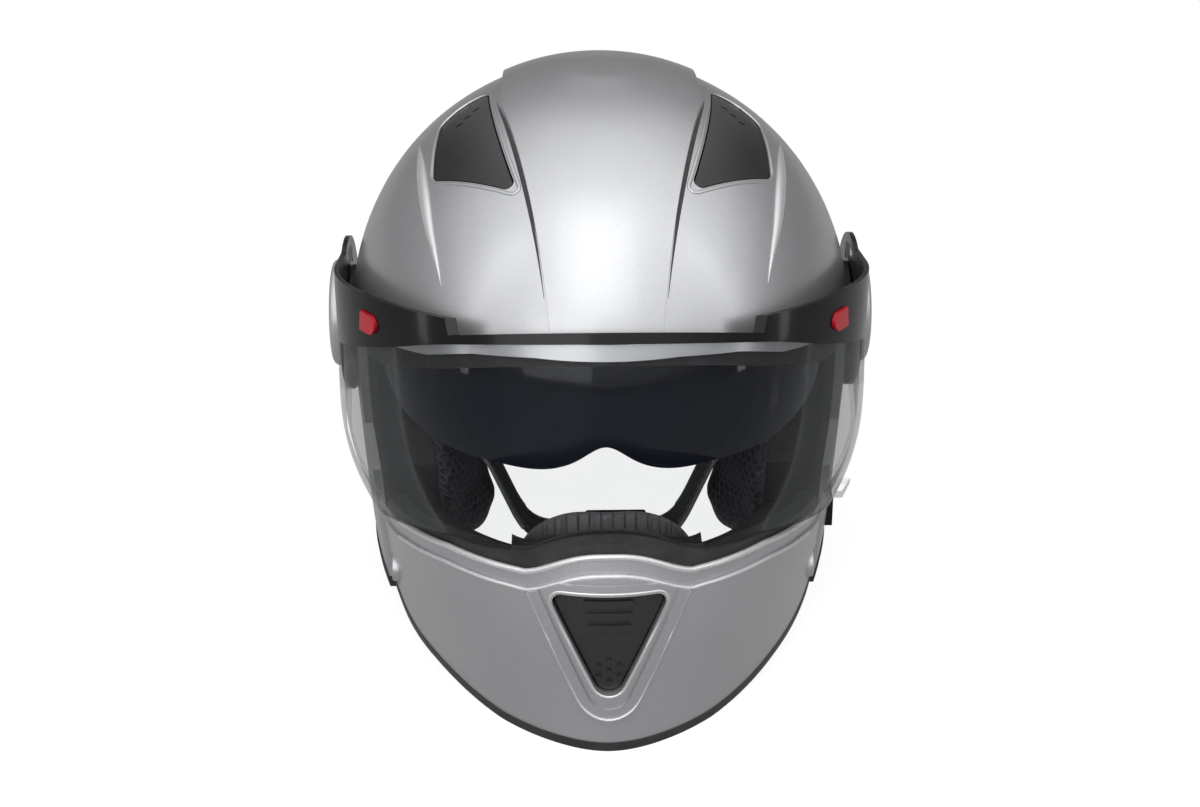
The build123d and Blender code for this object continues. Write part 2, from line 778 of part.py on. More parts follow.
def make_lens():
    """Clear lens between the band and the lip."""
    low = shield_frame_lines()[1]
    lift = lip_seal_height + shield_edge_gap
    foot = lip_line[0][0] + running_gap
    points = list(reversed(low)) + [(0, -ear_radius * 0.6), (port_side_forward, -ear_radius * 1.08),
                                    (foot, -ear_radius * 1.5), (foot, rim_low), (front_reach, rim_low)]
    lens = shield_skin & side_prism(points)
    lens -= ear_disc(ear_radius)
    lens -= below_lip(lift)
    return largest(lens)


def release_plane(side):
    """Plane on the outside of the shield arm at the release button."""
    high, half_width, near = shield_levels[1]
    low, _, far = shield_levels[2]
    bow = near + (far - near) * (high - release_rise) / (high - low) - shield_flat_forward
    angle = asin(max(release_forward - shield_flat_forward, 0) / bow)
    x = half_width * cos(angle)
    across = Vector(bow * cos(angle), half_width * sin(angle)).normalized()
    normal = (side * across.X, -across.Y, 0)
    return Plane(origin=(side * x, -release_forward, release_rise), x_dir=(0, 0, 1), z_dir=normal)


def release_block(side, gap, depth):
    """D-shaped button block, round end forward."""
    half = release_height / 2 + gap
    length = release_length + gap
    straight = length - half
    block = Box(2 * half, straight, 2 * depth)
    block += Pos(0, side * straight / 2, 0) * Cylinder(half, 2 * depth)
    return release_plane(side) * block


def make_release_button(side):
    """Red button proud of the arm, with a foot behind it."""
    block = release_block(side, 0.0, overrun)
    outer = shield_block(release_proud)
    inner = shield_block(release_proud - release_wall, shield_wall)
    return largest((outer - inner) & block)


def make_tab():
    """Lift tab on the wearer's left of the lens."""
    lift = lip_seal_height + shield_edge_gap
    base = lip_line[1][1] + lift + running_gap
    outer = shield_block(tab_wall)
    near = tab_forward - tab_length / 2
    far = tab_forward + tab_length / 2
    region = side_prism([(near, base), (near, base + tab_height), (far, base + tab_height + tab_length * 0.3),
                         (far, base + tab_length * 0.3)], 0, shell_half_width)
    return largest((outer - shield_out) & region)


def side_disc(side, radius, near, far, forward=0.0, height=0.0):
    """Disc along X between two distances from the middle, on one side."""
    low, high = min(side * near, side * far), max(side * near, side * far)
    return x_disc(radius, low, high, forward, height)


shield_face = shield_levels[2][1]
cover_base = shield_face + running_gap
screw_end = shell_half_width


def make_pivot_base(side):
    """Ratchet plate on the shell under the shield's ear, with its hollow pivot pin."""
    inner = shell_half_width - shell_wall
    outer = shield_face - shield_wall - 2 * running_gap
    base = side_disc(side, cover_disc_radius * 0.9, inner, outer) - outer_egg
    base += side_disc(side, pivot_pin_radius, outer - rivet_wall, cover_base) - outer_egg
    return largest(base - side_disc(side, pivot_screw_radius, screw_end, cover_base + overrun))


def make_side_cover(side):
    """Round cap over the shield's pivot, dished, with a seat for its screw."""
    face = cover_base + cover_disc_wall
    cap = side_disc(side, cover_disc_radius, cover_base, face)
    cap = fillet(cap.edges().group_by(Axis.X)[-1 if side > 0 else 0], cover_disc_edge * 1.5)
    cap -= side_disc(side, cover_disc_radius * 0.7, face - cover_disc_edge / 2, face)
    cap -= side_disc(side, pivot_screw_head + running_gap, face - 2 * cover_disc_edge, face)
    return cap - side_disc(side, pivot_screw_radius + running_gap, cover_base, face)


def make_pivot_screws():
    """Coin-slot screws that hold the side covers to the pivot pins."""
    screws = []
    seat = cover_base + cover_disc_wall - 2 * cover_disc_edge
    head_end = seat + 1.4 * cover_disc_edge
    for side, _ in SIDES:
        screw = side_disc(side, pivot_screw_radius - pivot_fit, screw_end + running_gap, seat)
        screw += side_disc(side, pivot_screw_head, seat, head_end)
        screw -= Pos(side * head_end, 0, 0) * Box(cover_disc_edge, 2 * pivot_screw_head, pivot_screw_slot)
        screws.append(screw)
    return Compound([solid for screw in screws for solid in screw.solids()])


def make_sun_lens():
    """Tinted sun lens, part of a spheroid about its hinge, with a nose cut-out."""
    skin = spheroid(sun_half_width, sun_radius) - spheroid(sun_half_width - sun_wall, sun_radius - sun_wall)
    cut = sun_cut_half
    low = sun_low_height
    edge = Spline((cut, low * -0.2), (cut * 0.935, low * 0.6), (cut * 0.75, low * 0.94), (cut * 0.5, low),
                  (sun_nose_half * 1.35, low), (sun_nose_half * 0.55, (low + sun_nose_height) / 2),
                  (0, sun_nose_height), (-sun_nose_half * 0.55, (low + sun_nose_height) / 2),
                  (-sun_nose_half * 1.35, low), (-cut * 0.5, low), (-cut * 0.75, low * 0.94),
                  (-cut * 0.935, low * 0.6), (-cut, low * -0.2))
    top = Polyline((-cut, low * -0.2), (-cut, sun_top_height * 0.75), (-cut * 0.6, sun_top_height),
                   (cut * 0.6, sun_top_height), (cut, sun_top_height * 0.75), (cut, low * -0.2))
    plane = Plane(origin=(0, -sun_hinge_forward - sun_pin_radius, 0), x_dir=(1, 0, 0), z_dir=(0, -1, 0))
    region = extrude(plane * make_face(edge + top), amount=sun_radius + overrun)
    middle = Box(2 * cut, 2 * shell_rear + 2 * overrun, 2 * shell_crown)
    return largest(skin & region & middle)


def make_sun_arm(side):
    """Arm from the lens to the hinge, with its pin."""
    near = side * sun_cut_half
    far = side * (sun_cut_half + sun_arm_wall)
    low, high = min(near, far), max(near, far)
    half = sun_arm_width / 2
    plate = side_prism([(sun_hinge_forward, sun_hinge_height - half * 0.8),
                        (sun_hinge_forward + sun_arm_radius * 0.93, sun_hinge_height + half * 1.2),
                        (sun_hinge_forward + sun_arm_radius * 0.78, sun_hinge_height + sun_arm_radius * 0.6),
                        (sun_hinge_forward, sun_hinge_height + half)], low, high)
    plate += x_disc(half, low, high, sun_hinge_forward, sun_hinge_height)
    reach = side * (sun_cut_half + sun_arm_wall + sun_pin_reach)
    plate += x_disc(sun_pin_radius, min(near, reach), max(near, reach), sun_hinge_forward, sun_hinge_height)
    return plate


def make_sun_bracket(side):
    """Bush in the foam that carries the sun visor's hinge pin."""
    near = sun_cut_half + sun_arm_wall + running_gap
    far = sun_cut_half + sun_arm_wall + sun_pin_reach + sun_clearance - running_gap
    bush = side_disc(side, sun_bracket_radius, near, far, sun_hinge_forward, sun_hinge_height)
    return bush - side_disc(side, sun_pin_radius + sun_pin_fit, near, far, sun_hinge_forward, sun_hinge_height)


def make_slider_track():
    """Track plate let into the shell for the sun visor's slider."""
    x_out = shell_half_width * slider_side_share
    body = Pos(x_out - slider_wall * 1.5, -slider_forward, -slider_drop) * Box(
        slider_wall * 3, slider_track_length, slider_track_height)
    slot_length = slider_travel + slider_stem + 4 * running_gap
    body -= Pos(x_out, -slider_forward, -slider_drop) * Box(
        slider_wall * 3, slot_length, slider_stem + 2 * running_gap)
    return body


def make_slider():
    """Slider knob that runs along the track."""
    x_out = shell_half_width * slider_side_share
    start = -slider_forward + slider_travel / 2
    knob = Pos(x_out + running_gap + slider_wall / 2, start, -slider_drop) * Box(
        slider_wall, slider_length, slider_height)
    knob = fillet(knob.edges().filter_by(Axis.X), slider_height * 0.4)
    stem = Pos(x_out - slider_wall / 2 + running_gap, start, -slider_drop) * Box(
        slider_wall, slider_stem, slider_stem)
    return knob + stem


chin_out = chin_block()
chin_in = chin_block(-chin_wall, chin_wall)
chin_liner_in = chin_block(-chin_wall - chin_liner_wall, 2 * chin_wall)


def chin_region(trim):
    """Side view of the guard above its lower edge."""
    start = cheek_forward + seam_gap
    points = [(start, overrun), (start, chin_bottom_line[0][1] + trim)]
    points += [(forward, height + trim) for forward, height in chin_bottom_line[1:]]
    points += [(chin_bottom_line[-1][0], overrun)]
    return side_prism(points)


def triangle_prism(half, top, low, radius, low_radius, grow=0.0):
    """Rounded triangle in the middle of the guard, carried forward."""
    flat = make_face(Polyline((-half, top), (half, top), (0, low), close=True))
    flat = fillet(flat.vertices().group_by(Axis.Y)[0], low_radius)
    flat = fillet(flat.vertices().group_by(Axis.Y)[-1], radius)
    flat = offset(flat, amount=grow) if grow else flat
    near = shell_front * 0.9
    plane = Plane(origin=(0, -near, 0), x_dir=(1, 0, 0), z_dir=(0, -1, 0))
    return extrude(plane * flat, amount=front_reach - near)


def bezel_prism(grow=0.0):
    return triangle_prism(bezel_top_half, bezel_top_height, bezel_low_height, bezel_corner_radius,
                          bezel_low_radius, grow)


def hole_prism(grow=0.0):
    return triangle_prism(hole_top_half, hole_top_height, hole_low_height, hole_corner_radius,
                          hole_low_radius, grow)


def flap_pin(grow):
    """Hinge pin across the foot of the chin vent flap."""
    centre = flap_pin_place()
    half = hole_top_half * 0.4
    return x_disc(flap_pin_radius + grow, -half - grow, half + grow, centre[0], centre[1])


def flap_pin_place():
    """Forward distance and height of the flap's hinge pin."""
    height = hole_low_height + 2.24 * hole_low_radius
    return chin_levels[3][2] - flap_sink - flap_wall - flap_pin_radius - 4 * running_gap, height


def make_chin_shell():
    """Outer wall of the chin guard, open for the vent and the buttons."""
    shell = (chin_out - chin_in) & chin_region(chin_trim_height) & below_lip(0.0)
    step = (chin_out - chin_block(-lip_band_step)) - below_lip(-lip_band_height)
    shell -= step
    shell -= hole_prism()
    for side, _ in SIDES:
        shell -= chin_button_disc(side, running_gap, overrun)
    return largest(shell)


def make_chin_trim():
    """Rubber edge under the chin guard."""
    ring = chin_block(rim_trim_lip / 2) - chin_block(-chin_wall - rim_trim_lip, chin_wall)
    return largest((ring & chin_region(0)) - chin_region(chin_trim_height))


def make_lip_seal():
    """Rubber seal behind the lip that the shield closes on."""
    ring = chin_in - chin_block(-lip_seal_reach, chin_wall)
    start = cheek_forward + seam_gap
    keep = side_prism([(start, rim_low), (start, overrun), (front_reach, overrun), (front_reach, rim_low)])
    seal = (ring & below_lip(lip_seal_height)) - below_lip(-lip_seal_height / 2)
    return largest(seal & keep)


def make_chin_liner():
    """Foam inside the chin guard."""
    liner = chin_block(-chin_wall - running_gap, chin_wall) - chin_liner_in
    liner &= chin_region(chin_trim_height * 1.5)
    liner &= below_lip(-lip_seal_height / 2 - running_gap)
    liner -= hole_prism()
    liner -= flap_pin(running_gap)
    for side, _ in SIDES:
        liner -= chin_button_disc(side, chin_button_travel, overrun)
        liner -= hook_block(side, running_gap, 0)
    return largest(liner)


def make_vent_frame():
    """Raised silver triangle around the chin vent, with a fine groove."""
    frame = (chin_block(bezel_rise) - chin_out) & bezel_prism()
    frame &= below_lip(-lip_band_height - running_gap)
    frame -= hole_prism()
    groove = chin_block(bezel_rise) - chin_block(bezel_rise / 2)
    middle = (hole_top_half - bezel_top_half) * 0.35
    line = bezel_prism(middle) - bezel_prism(middle - bezel_groove)
    return largest(frame - (groove & line))


def make_flap():
    """Chin vent flap with three ribs, a group of dots and its hinge pin."""
    skin = chin_block(-flap_sink) - chin_block(-flap_sink - flap_wall, chin_wall)
    flap = largest(skin & hole_prism(-flap_gap))
    raised = chin_block(flap_rib_rise - flap_sink) - chin_block(-flap_sink - flap_wall / 2)
    top = hole_top_height - 0.8 * flap_rib_pitch
    for index in range(flap_ribs):
        height = top - index * flap_rib_pitch
        half = flap_rib_length / 2 * (1 - 0.06 * index)
        rib = [(-half, height - flap_rib_height / 2), (half, height - flap_rib_height / 2),
               (half, height + flap_rib_height / 2), (-half, height + flap_rib_height / 2)]
        flap += raised & front_prism(rib, shell_front, front_reach, flap_rib_height * 0.4)
    centre = top - (flap_ribs - 1) * flap_rib_pitch - 4 * flap_dot_pitch
    places = [(0, 0)] + [(flap_dot_pitch * cos(radians(60 * k + 30)), flap_dot_pitch * sin(radians(60 * k + 30)))
                         for k in range(6)]
    for x, z in places:
        plane = Plane(origin=(x, -shell_front, centre + z), x_dir=(1, 0, 0), z_dir=(0, -1, 0))
        flap += raised & extrude(plane * Circle(flap_dot_radius), amount=front_reach)
    forward, height = flap_pin_place()
    web = Box(3 * flap_pin_radius, 3 * flap_pin_radius, flap_pin_radius)
    web = Pos(0, -forward - flap_pin_radius, height) * web
    return largest(flap + flap_pin(0.0) + web)


def make_vent_mesh():
    """Filter plate behind the flap."""
    inset = chin_wall + 3 * flap_wall
    plate = chin_block(-inset, chin_wall) - chin_block(-inset - mesh_wall, 2 * chin_wall)
    plate &= hole_prism(-running_gap)
    low = flap_pin_place()[1] + 2 * flap_pin_radius
    return largest(plate & slab(low, 0))


def chin_button_disc(side, gap, depth):
    level = chin_levels[3]
    x = side * level[1]
    low, high = min(x - side * depth, x + side * depth), max(x - side * depth, x + side * depth)
    return x_disc(chin_button_radius + gap, low, high, chin_button_forward, chin_button_height)


def make_chin_button(side):
    """Round latch release button in the guard's side."""
    level = chin_levels[3]
    surface = bow_reach(level, chin_button_forward)
    outer = side * (surface + chin_button_proud)
    inner = side * (surface - chin_button_depth)
    low, high = min(outer, inner), max(outer, inner)
    button = x_disc(chin_button_radius, low, high, chin_button_forward, chin_button_height)
    return fillet(button.edges().group_by(Axis.X)[-1 if side > 0 else 0], button_edge)


def hook_block(side, gap, tip):
    x = side * hook_side
    near = cheek_forward - hook_length
    far = cheek_forward + 1.4 * hook_length
    centre = -(near + far) / 2
    return Pos(x, centre, -hook_drop) * Box(hook_wall + 2 * gap, far - near + 2 * tip, hook_height + 2 * gap)


def make_hook(side):
    """Latch blade that reaches back from the guard into its receiver."""
    blade = hook_block(side, 0.0, 0.0)
    notch = Pos(side * hook_side, -cheek_forward + hook_length * 0.55, -hook_drop - hook_height * 0.3) * Box(
        2 * hook_wall, hook_length * 0.35, hook_height * 0.5)
    return blade - notch


def receiver_block(side, gap):
    x = side * hook_side
    width = hook_wall + 2 * receiver_wall + 2 * running_gap
    length = hook_length + receiver_wall
    centre = -(cheek_forward - port_seal_height - length / 2)
    return Pos(x, centre, -hook_drop) * Box(width + 2 * gap, length + 2 * gap,
                                            hook_height + 2 * receiver_wall + 2 * gap)


def make_receiver(side):
    """Socket in the cheek foam for the latch blade."""
    return receiver_block(side, 0.0) - hook_block(side, running_gap * 2, running_gap * 2)


def make_breath_guard():
    """Ribbed rubber shield over the nose."""
    inset = chin_wall + chin_liner_wall + 2 * running_gap
    outer = chin_block(-inset, 0.0, chin_levels[:3])
    inner = chin_block(-inset - breath_wall, breath_wall, chin_levels[:3])
    half, end = breath_line[-1]
    rise = Spline(*reversed(breath_line), (0, breath_top), *[(-x, z) for x, z in breath_line])
    rest = Polyline((-half, end), (-half, breath_low), (half, breath_low), (half, end))
    plane = Plane(origin=(0, -shell_front * 0.6, 0), x_dir=(1, 0, 0), z_dir=(0, -1, 0))
    region = extrude(plane * make_face(rise + rest), amount=shell_front)
    guard = (outer - inner) & region
    ribs = chin_block(breath_rib_wall - inset, 0.0, chin_levels[:3]) - outer
    ribs -= below_lip(-breath_rib_wall)
    for index in range(breath_ribs):
        x = (index - (breath_ribs - 1) / 2) * breath_rib_pitch
        bar = Pos(x, inset - chin_levels[1][2], (breath_top + breath_low) / 2) * Box(breath_rib_wall, overrun,
                                                                        breath_top - breath_low)
        guard += ribs & bar & region
    return largest(guard)


def strap_solid(side, gap=0.0):
    """Webbing strap along its path, thickened all round by a gap."""
    points = [(strap_top_side, -strap_top_drop), (strap_top_side, -strap_top_drop - strap_anchor_length),
              (strap_knee_side, -strap_knee_drop), (strap_low_side, -strap_low_drop),
              (strap_low_side * 0.75, -strap_end_drop), (strap_end_side, -strap_end_drop)]
    path = FilletPolyline(*[(side * x, z) for x, z in points], radius=strap_bend)
    flat = trace(path, strap_wall + 2 * gap)
    width = strap_width + 2 * gap
    plane = Plane(origin=(0, -strap_forward + width / 2, 0), x_dir=(1, 0, 0), z_dir=(0, -1, 0))
    return extrude(plane * flat, amount=width)


def make_strap(side):
    return largest(strap_solid(side))


buckle_middle = buckle_length / 4
lever_pivot_drop = buckle_height / 2 + lever_pin_radius + 3 * running_gap
ear_middle = lever_length * 0.45


def make_buckle_body():
    """Hollow body of the quick-release buckle, on the wearer's left strap."""
    body = Box(buckle_length, buckle_depth, buckle_height)
    body = fillet(body.edges().filter_by(Axis.Y), buckle_wall * 0.7)
    body -= Box(2 * buckle_length, strap_width + 2 * running_gap, buckle_height - 2 * buckle_wall)
    notch = Box(lever_length / 2, strap_width * 0.6, 3 * buckle_wall)
    body -= Pos(-lever_length / 4, 0, -buckle_height / 2) * notch
    tall = lever_pivot_drop + lever_pin_radius + buckle_wall
    for end in (1, -1):
        across = end * (buckle_depth / 2 + lever_wall / 2)
        body += Pos(ear_middle, across, -tall / 2) * Box(4 * lever_pin_radius, lever_wall, tall)
        hole = Pos(ear_middle, across, -lever_pivot_drop) * Rot(90, 0, 0)
        body -= hole * Cylinder(lever_pin_radius + sun_pin_fit, 2 * lever_wall)
    return Pos(buckle_middle, -strap_forward, -strap_end_drop) * body


def make_buckle_tongue():
    """Toothed tongue on the wearer's right strap, inside the buckle body."""
    height = buckle_height - 2 * buckle_wall - 2 * running_gap
    tongue = Box(tongue_length, strap_width - running_gap, height * 0.6)
    for index in range(5):
        notch = Pos(tongue_length * 0.05 + index * buckle_wall * 1.4, 0, -height * 0.3) * Rot(0, 45, 0)
        tongue -= notch * Box(buckle_wall * 0.6, strap_width, buckle_wall * 0.6)
    return Pos(tongue_length / 2 - strap_end_side, -strap_forward, -strap_end_drop) * tongue


def make_buckle_lever():
    """Lever under the buckle body, turned about a pin through the body's ears."""
    width = buckle_depth - 2 * running_gap
    lever = Pos(-lever_length / 2, 0, lever_pin_radius * 0.3) * Box(lever_length, width, lever_wall * 0.6)
    lever += Rot(90, 0, 0) * Cylinder(lever_pin_radius * 1.5, width)
    lever += Rot(90, 0, 0) * Cylinder(lever_pin_radius, buckle_depth + 2 * lever_wall)
    lever -= Pos(0, 0, lever_pin_radius + lever_pivot_drop / 2) * Box(
        4 * lever_length, 2 * buckle_depth, lever_pivot_drop - 2 * running_gap)
    return Pos(buckle_middle + ear_middle, -strap_forward, -strap_end_drop - lever_pivot_drop) * lever


def rivet_head_disc(side, gap):
    """Head of the strap's rivet, between strap and foam."""
    near = strap_top_side - strap_wall / 2 - rivet_wall
    return side_disc(side, rivet_radius + gap, near - gap, near + rivet_wall, strap_forward,
                     -strap_top_drop - rivet_radius)


def rivet_shank_disc(side, gap):
    near = strap_top_side + strap_wall / 2
    return side_disc(side, rivet_shank + gap, near, shell_half_width - shell_wall, strap_forward,
                     -strap_top_drop - rivet_radius)


def make_rivets():
    """Rivets from the straps through the side foam to the shell."""
    rivets = []
    for side, _ in SIDES:
        rivets += (rivet_shank_disc(side, 0.0) & foam_out_egg).solids()
        rivets += rivet_head_disc(side, 0.0).solids()
    return Compound(rivets)


makers = {
    "outer_shell": make_shell,
    "shell_rim_trim": make_rim_trim,
    "brow_trim": make_brow_trim,
    "eye_port_seal": make_port_seal,
    "rear_exhaust": make_rear_exhaust,
    "pivot_screws": make_pivot_screws,
    "strap_rivets": make_rivets,
    "foam_crown": make_foam_crown,
    "crown_liner": make_crown_liner,
    "rear_liner": make_rear_liner,
    "neck_roll": make_neck_roll,
    "shield_frame": make_shield_frame,
    "shield_lens": make_lens,
    "shield_tab": make_tab,
    "sun_lens": make_sun_lens,
    "sun_slider": make_slider,
    "slider_track": make_slider_track,
    "chin_shell": make_chin_shell,
    "chin_edge_trim": make_chin_trim,
    "chin_lip_seal": make_lip_seal,
    "chin_foam": make_chin_liner,
    "chin_vent_frame": make_vent_frame,
    "chin_vent_flap": make_flap,
    "chin_vent_mesh": make_vent_mesh,
    "breath_guard": make_breath_guard,
    "buckle_body": make_buckle_body,
    "buckle_tongue": make_buckle_tongue,
    "buckle_lever": make_buckle_lever,
}
side_makers = {
    "foam_cheek": make_foam_cheek,
    "cheek_pad": make_cheek_pad,
    "vent_cover": make_vent_cover,
    "vent_tray": make_vent_tray,
    "vent_shutter": make_vent_shutter,
    "release_button": make_release_button,
    "side_cover": make_side_cover,
    "sun_arm": make_sun_arm,
    "chin_button": make_chin_button,
    "latch_hook": make_hook,
    "latch_receiver": make_receiver,
    "chin_strap": make_strap,
    "pivot_base": make_pivot_base,
    "sun_bracket": make_sun_bracket,
}

# Stand the helmet on its rims, with the origin in the middle of its footprint
for name, maker in makers.items():
    parts[name] = maker()
for name, maker in side_makers.items():
    for side, label in SIDES:
        parts[f"{name}_{label}"] = maker(side)

front_end = min(part.bounding_box().min.Y for part in parts.values())
rear_end = max(part.bounding_box().max.Y for part in parts.values())
middle = -(front_end + rear_end) / 2
print("shift", round(middle, 4), stand_height)
os.makedirs("parts", exist_ok=True)
for name, part in parts.items():
    export_step(Pos(0, middle, stand_height) * part, f"parts/{name}.step")
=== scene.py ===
import json
import math

import bmesh
import bpy
import numpy as np
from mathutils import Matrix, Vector


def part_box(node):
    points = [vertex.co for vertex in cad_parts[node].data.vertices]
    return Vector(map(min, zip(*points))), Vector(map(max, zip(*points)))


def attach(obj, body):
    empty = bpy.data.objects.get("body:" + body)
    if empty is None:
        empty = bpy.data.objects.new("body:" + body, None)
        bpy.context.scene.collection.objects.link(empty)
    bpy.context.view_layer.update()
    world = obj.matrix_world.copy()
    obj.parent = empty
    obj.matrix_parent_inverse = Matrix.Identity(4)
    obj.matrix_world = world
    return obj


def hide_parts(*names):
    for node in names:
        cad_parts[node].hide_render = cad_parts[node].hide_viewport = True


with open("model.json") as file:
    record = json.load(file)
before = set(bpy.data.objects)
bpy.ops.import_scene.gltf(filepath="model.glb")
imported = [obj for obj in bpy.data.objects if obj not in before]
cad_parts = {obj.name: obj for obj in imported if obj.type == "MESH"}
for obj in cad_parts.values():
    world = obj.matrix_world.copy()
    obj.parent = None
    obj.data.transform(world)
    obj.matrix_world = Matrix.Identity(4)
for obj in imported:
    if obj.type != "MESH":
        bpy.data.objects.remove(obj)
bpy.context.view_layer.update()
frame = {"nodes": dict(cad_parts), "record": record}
nodes = frame["nodes"]
print("frame loaded with", len(nodes), "solids")

# The helmet is drawn from the shield's pivot, which lies in the middle of the side covers
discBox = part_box("side_cover_left")
pivotY = (discBox[0].y + discBox[1].y) / 2
pivotZ = (discBox[0].z + discBox[1].z) / 2
pivot = np.array([0, pivotY, pivotZ])


class Wire:
    # One output socket that can be used in sums

    def __init__(self, board, socket):
        self.board = board
        self.socket = socket

    def math(self, kind, *others):
        return self.board.node("ShaderNodeMath", {"operation": kind}, [self, *others])

    def __add__(self, other):
        return self.math("ADD", other)

    def __radd__(self, other):
        return self.math("ADD", other)

    def __sub__(self, other):
        return self.math("SUBTRACT", other)

    def __rsub__(self, other):
        return self.board.node("ShaderNodeMath", {"operation": "SUBTRACT"}, [other, self])

    def __mul__(self, other):
        return self.math("MULTIPLY", other)

    def __rmul__(self, other):
        return self.math("MULTIPLY", other)

    def __truediv__(self, other):
        return self.math("DIVIDE", other)

    def __mod__(self, other):
        return self.math("FLOORED_MODULO", other)

    def size(self):
        return self.math("ABSOLUTE")

    def atLeast(self, other):
        return self.math("MAXIMUM", other)

    def atMost(self, other):
        return self.math("MINIMUM", other)

    def power(self, other):
        return self.math("POWER", other)

    def wave(self):
        return self.math("SINE")

    def step(self, low, high):
        # 0 at low, 1 at high, smooth between
        settings = {"interpolation_type": "SMOOTHSTEP"}
        values = {"Value": self, "From Min": low, "From Max": high}
        return self.board.node("ShaderNodeMapRange", settings, values)


class Board:
    # A node tree with one method that makes its nodes

    def __init__(self, tree):
        self.tree = tree
        self.tree.nodes.clear()

    def node(self, kind, settings=None, values=(), out=0):
        made = self.tree.nodes.new(kind)
        for name, value in (settings or {}).items():
            setattr(made, name, value)
        pairs = values.items() if isinstance(values, dict) else enumerate(values)
        for name, value in pairs:
            self.plug(made.inputs[name], value)
        return Wire(self, made.outputs[out] if made.outputs else None)

    def plug(self, socket, value):
        if isinstance(value, Wire):
            self.tree.links.new(value.socket, socket)
        elif isinstance(value, (tuple, list)) and len(value) == 3 and socket.type == "RGBA":
            socket.default_value = (*value, 1)
        else:
            socket.default_value = value

    def blend(self, share, low, high):
        # Colour between low and high
        return self.node("ShaderNodeMix", {"data_type": "RGBA"}, {0: share, 6: low, 7: high}, 2)

    def either(self, first, second):
        return self.node("ShaderNodeMath", {"operation": "MAXIMUM"}, [first, second])


class Paint(Board):
    # A material with one Principled shader, whose constants are set on its sockets

    def __init__(self, name, **values):
        self.material = bpy.data.materials.new(name)
        self.material.use_nodes = True
        super().__init__(self.material.node_tree)
        self.output = self.tree.nodes.new("ShaderNodeOutputMaterial")
        self.shader = self.tree.nodes.new("ShaderNodeBsdfPrincipled")
        self.tree.links.new(self.shader.outputs[0], self.output.inputs["Surface"])
        for socket, value in values.items():
            self.feed(socket.replace("_", " "), value)

    def feed(self, name, value):
        self.plug(self.shader.inputs[name], value)
        return self

    def place(self):
        return self.node("ShaderNodeTexCoord", out=3)  # Object coordinates

    def axes(self, place=None):
        split = self.node("ShaderNodeSeparateXYZ", {}, [place or self.place()])
        return [Wire(self, split.socket.node.outputs[i]) for i in range(3)]

    def noise(self, scale, detail=2.0, place=None):
        values = {"Vector": place or self.place(), "Scale": scale, "Detail": detail}
        return self.node("ShaderNodeTexNoise", {}, values)

    def cells(self, scale, out=0):
        return self.node("ShaderNodeTexVoronoi", {}, {"Vector": self.place(), "Scale": scale}, out)

    def bump(self, height, distance, strength=1.0, under=None):
        values = {"Height": height, "Distance": distance, "Strength": strength}
        if under is not None:
            values["Normal"] = under
        return self.node("ShaderNodeBump", {}, values)

    def mixWith(self, kind, colour, share):
        # The shader and a plain one, mixed by a share that may vary
        other = self.node(kind, {}, [colour])
        own = Wire(self, self.shader.outputs[0])
        mix = self.node("ShaderNodeMixShader", {}, {0: share, 1: other, 2: own})
        self.tree.links.new(mix.socket, self.output.inputs["Surface"])


# Paints and plastics: colours, then roughness, texture scales per metre, and bump depths in metres
silver = {
    "light": (0.60, 0.605, 0.62), "dark": (0.47, 0.475, 0.49), "metallic": 0.62, "roughness": 0.37, "spread": 0.08,
    "coat": 0.5, "coatRoughness": 0.22, "drift": 14.0, "flake": 2400.0, "flakeShare": 0.35, "flakeDepth": 0.00001,
    "peel": 420.0, "peelDepth": 0.00003,
}
plastic = {"drift": 60.0, "grain": 1400.0, "depth": 0.00002, "spread": 0.1, "coatRoughness": 0.08}
# Dark satin; its paler grey is painted light towards the crown
darkSatin = {
    "light": (0.026, 0.027, 0.030), "dark": (0.012, 0.012, 0.014), "paintedLight": (0.11, 0.112, 0.118),
    "metallic": 0.25, "coat": 0.25, "coatRoughness": 0.3, "roughness": 0.36, "spread": 0.08, "drift": 40.0,
    "grain": 1500.0, "depth": 0.000025, "paintedLightLow": 0.094, "paintedLightHigh": 0.118,
}
rubber = {
    "dark": (0.020, 0.020, 0.022), "light": (0.040, 0.040, 0.044), "sheen": 0.12, "roughness": 0.48, "spread": 0.2,
    "dust": 90.0, "dustLow": 0.35, "dustHigh": 0.75, "grain": 1100.0, "depth": 0.00004,
}
# Breath guard: its low and high colours and groove share set the painted light at its top and the painted shade in
# its grooves
guard = {
    "low": (0.030, 0.030, 0.032), "high": (0.16, 0.162, 0.168), "sheen": 0.2, "roughness": 0.5, "spread": 0.15,
    "top": -0.036, "foot": -0.058, "pitch": 0.0052, "groove": 0.0007, "grooveShade": 0.35,
}
lens = {
    "clearTint": (0.13, 0.135, 0.14), "clearSee": (0.985, 0.99, 0.99), "clearRim": 0.62, "clearHaze": 0.0,
    "sunTint": (0.010, 0.012, 0.025), "sunSee": (0.03, 0.035, 0.055), "sunRim": 0.6, "sunHaze": 0.82,
    "roughness": 0.05, "coatRoughness": 0.02, "shine": 0.3, "edgeBlend": 0.22, "cloud": 25.0, "cloudShare": 0.01,
}


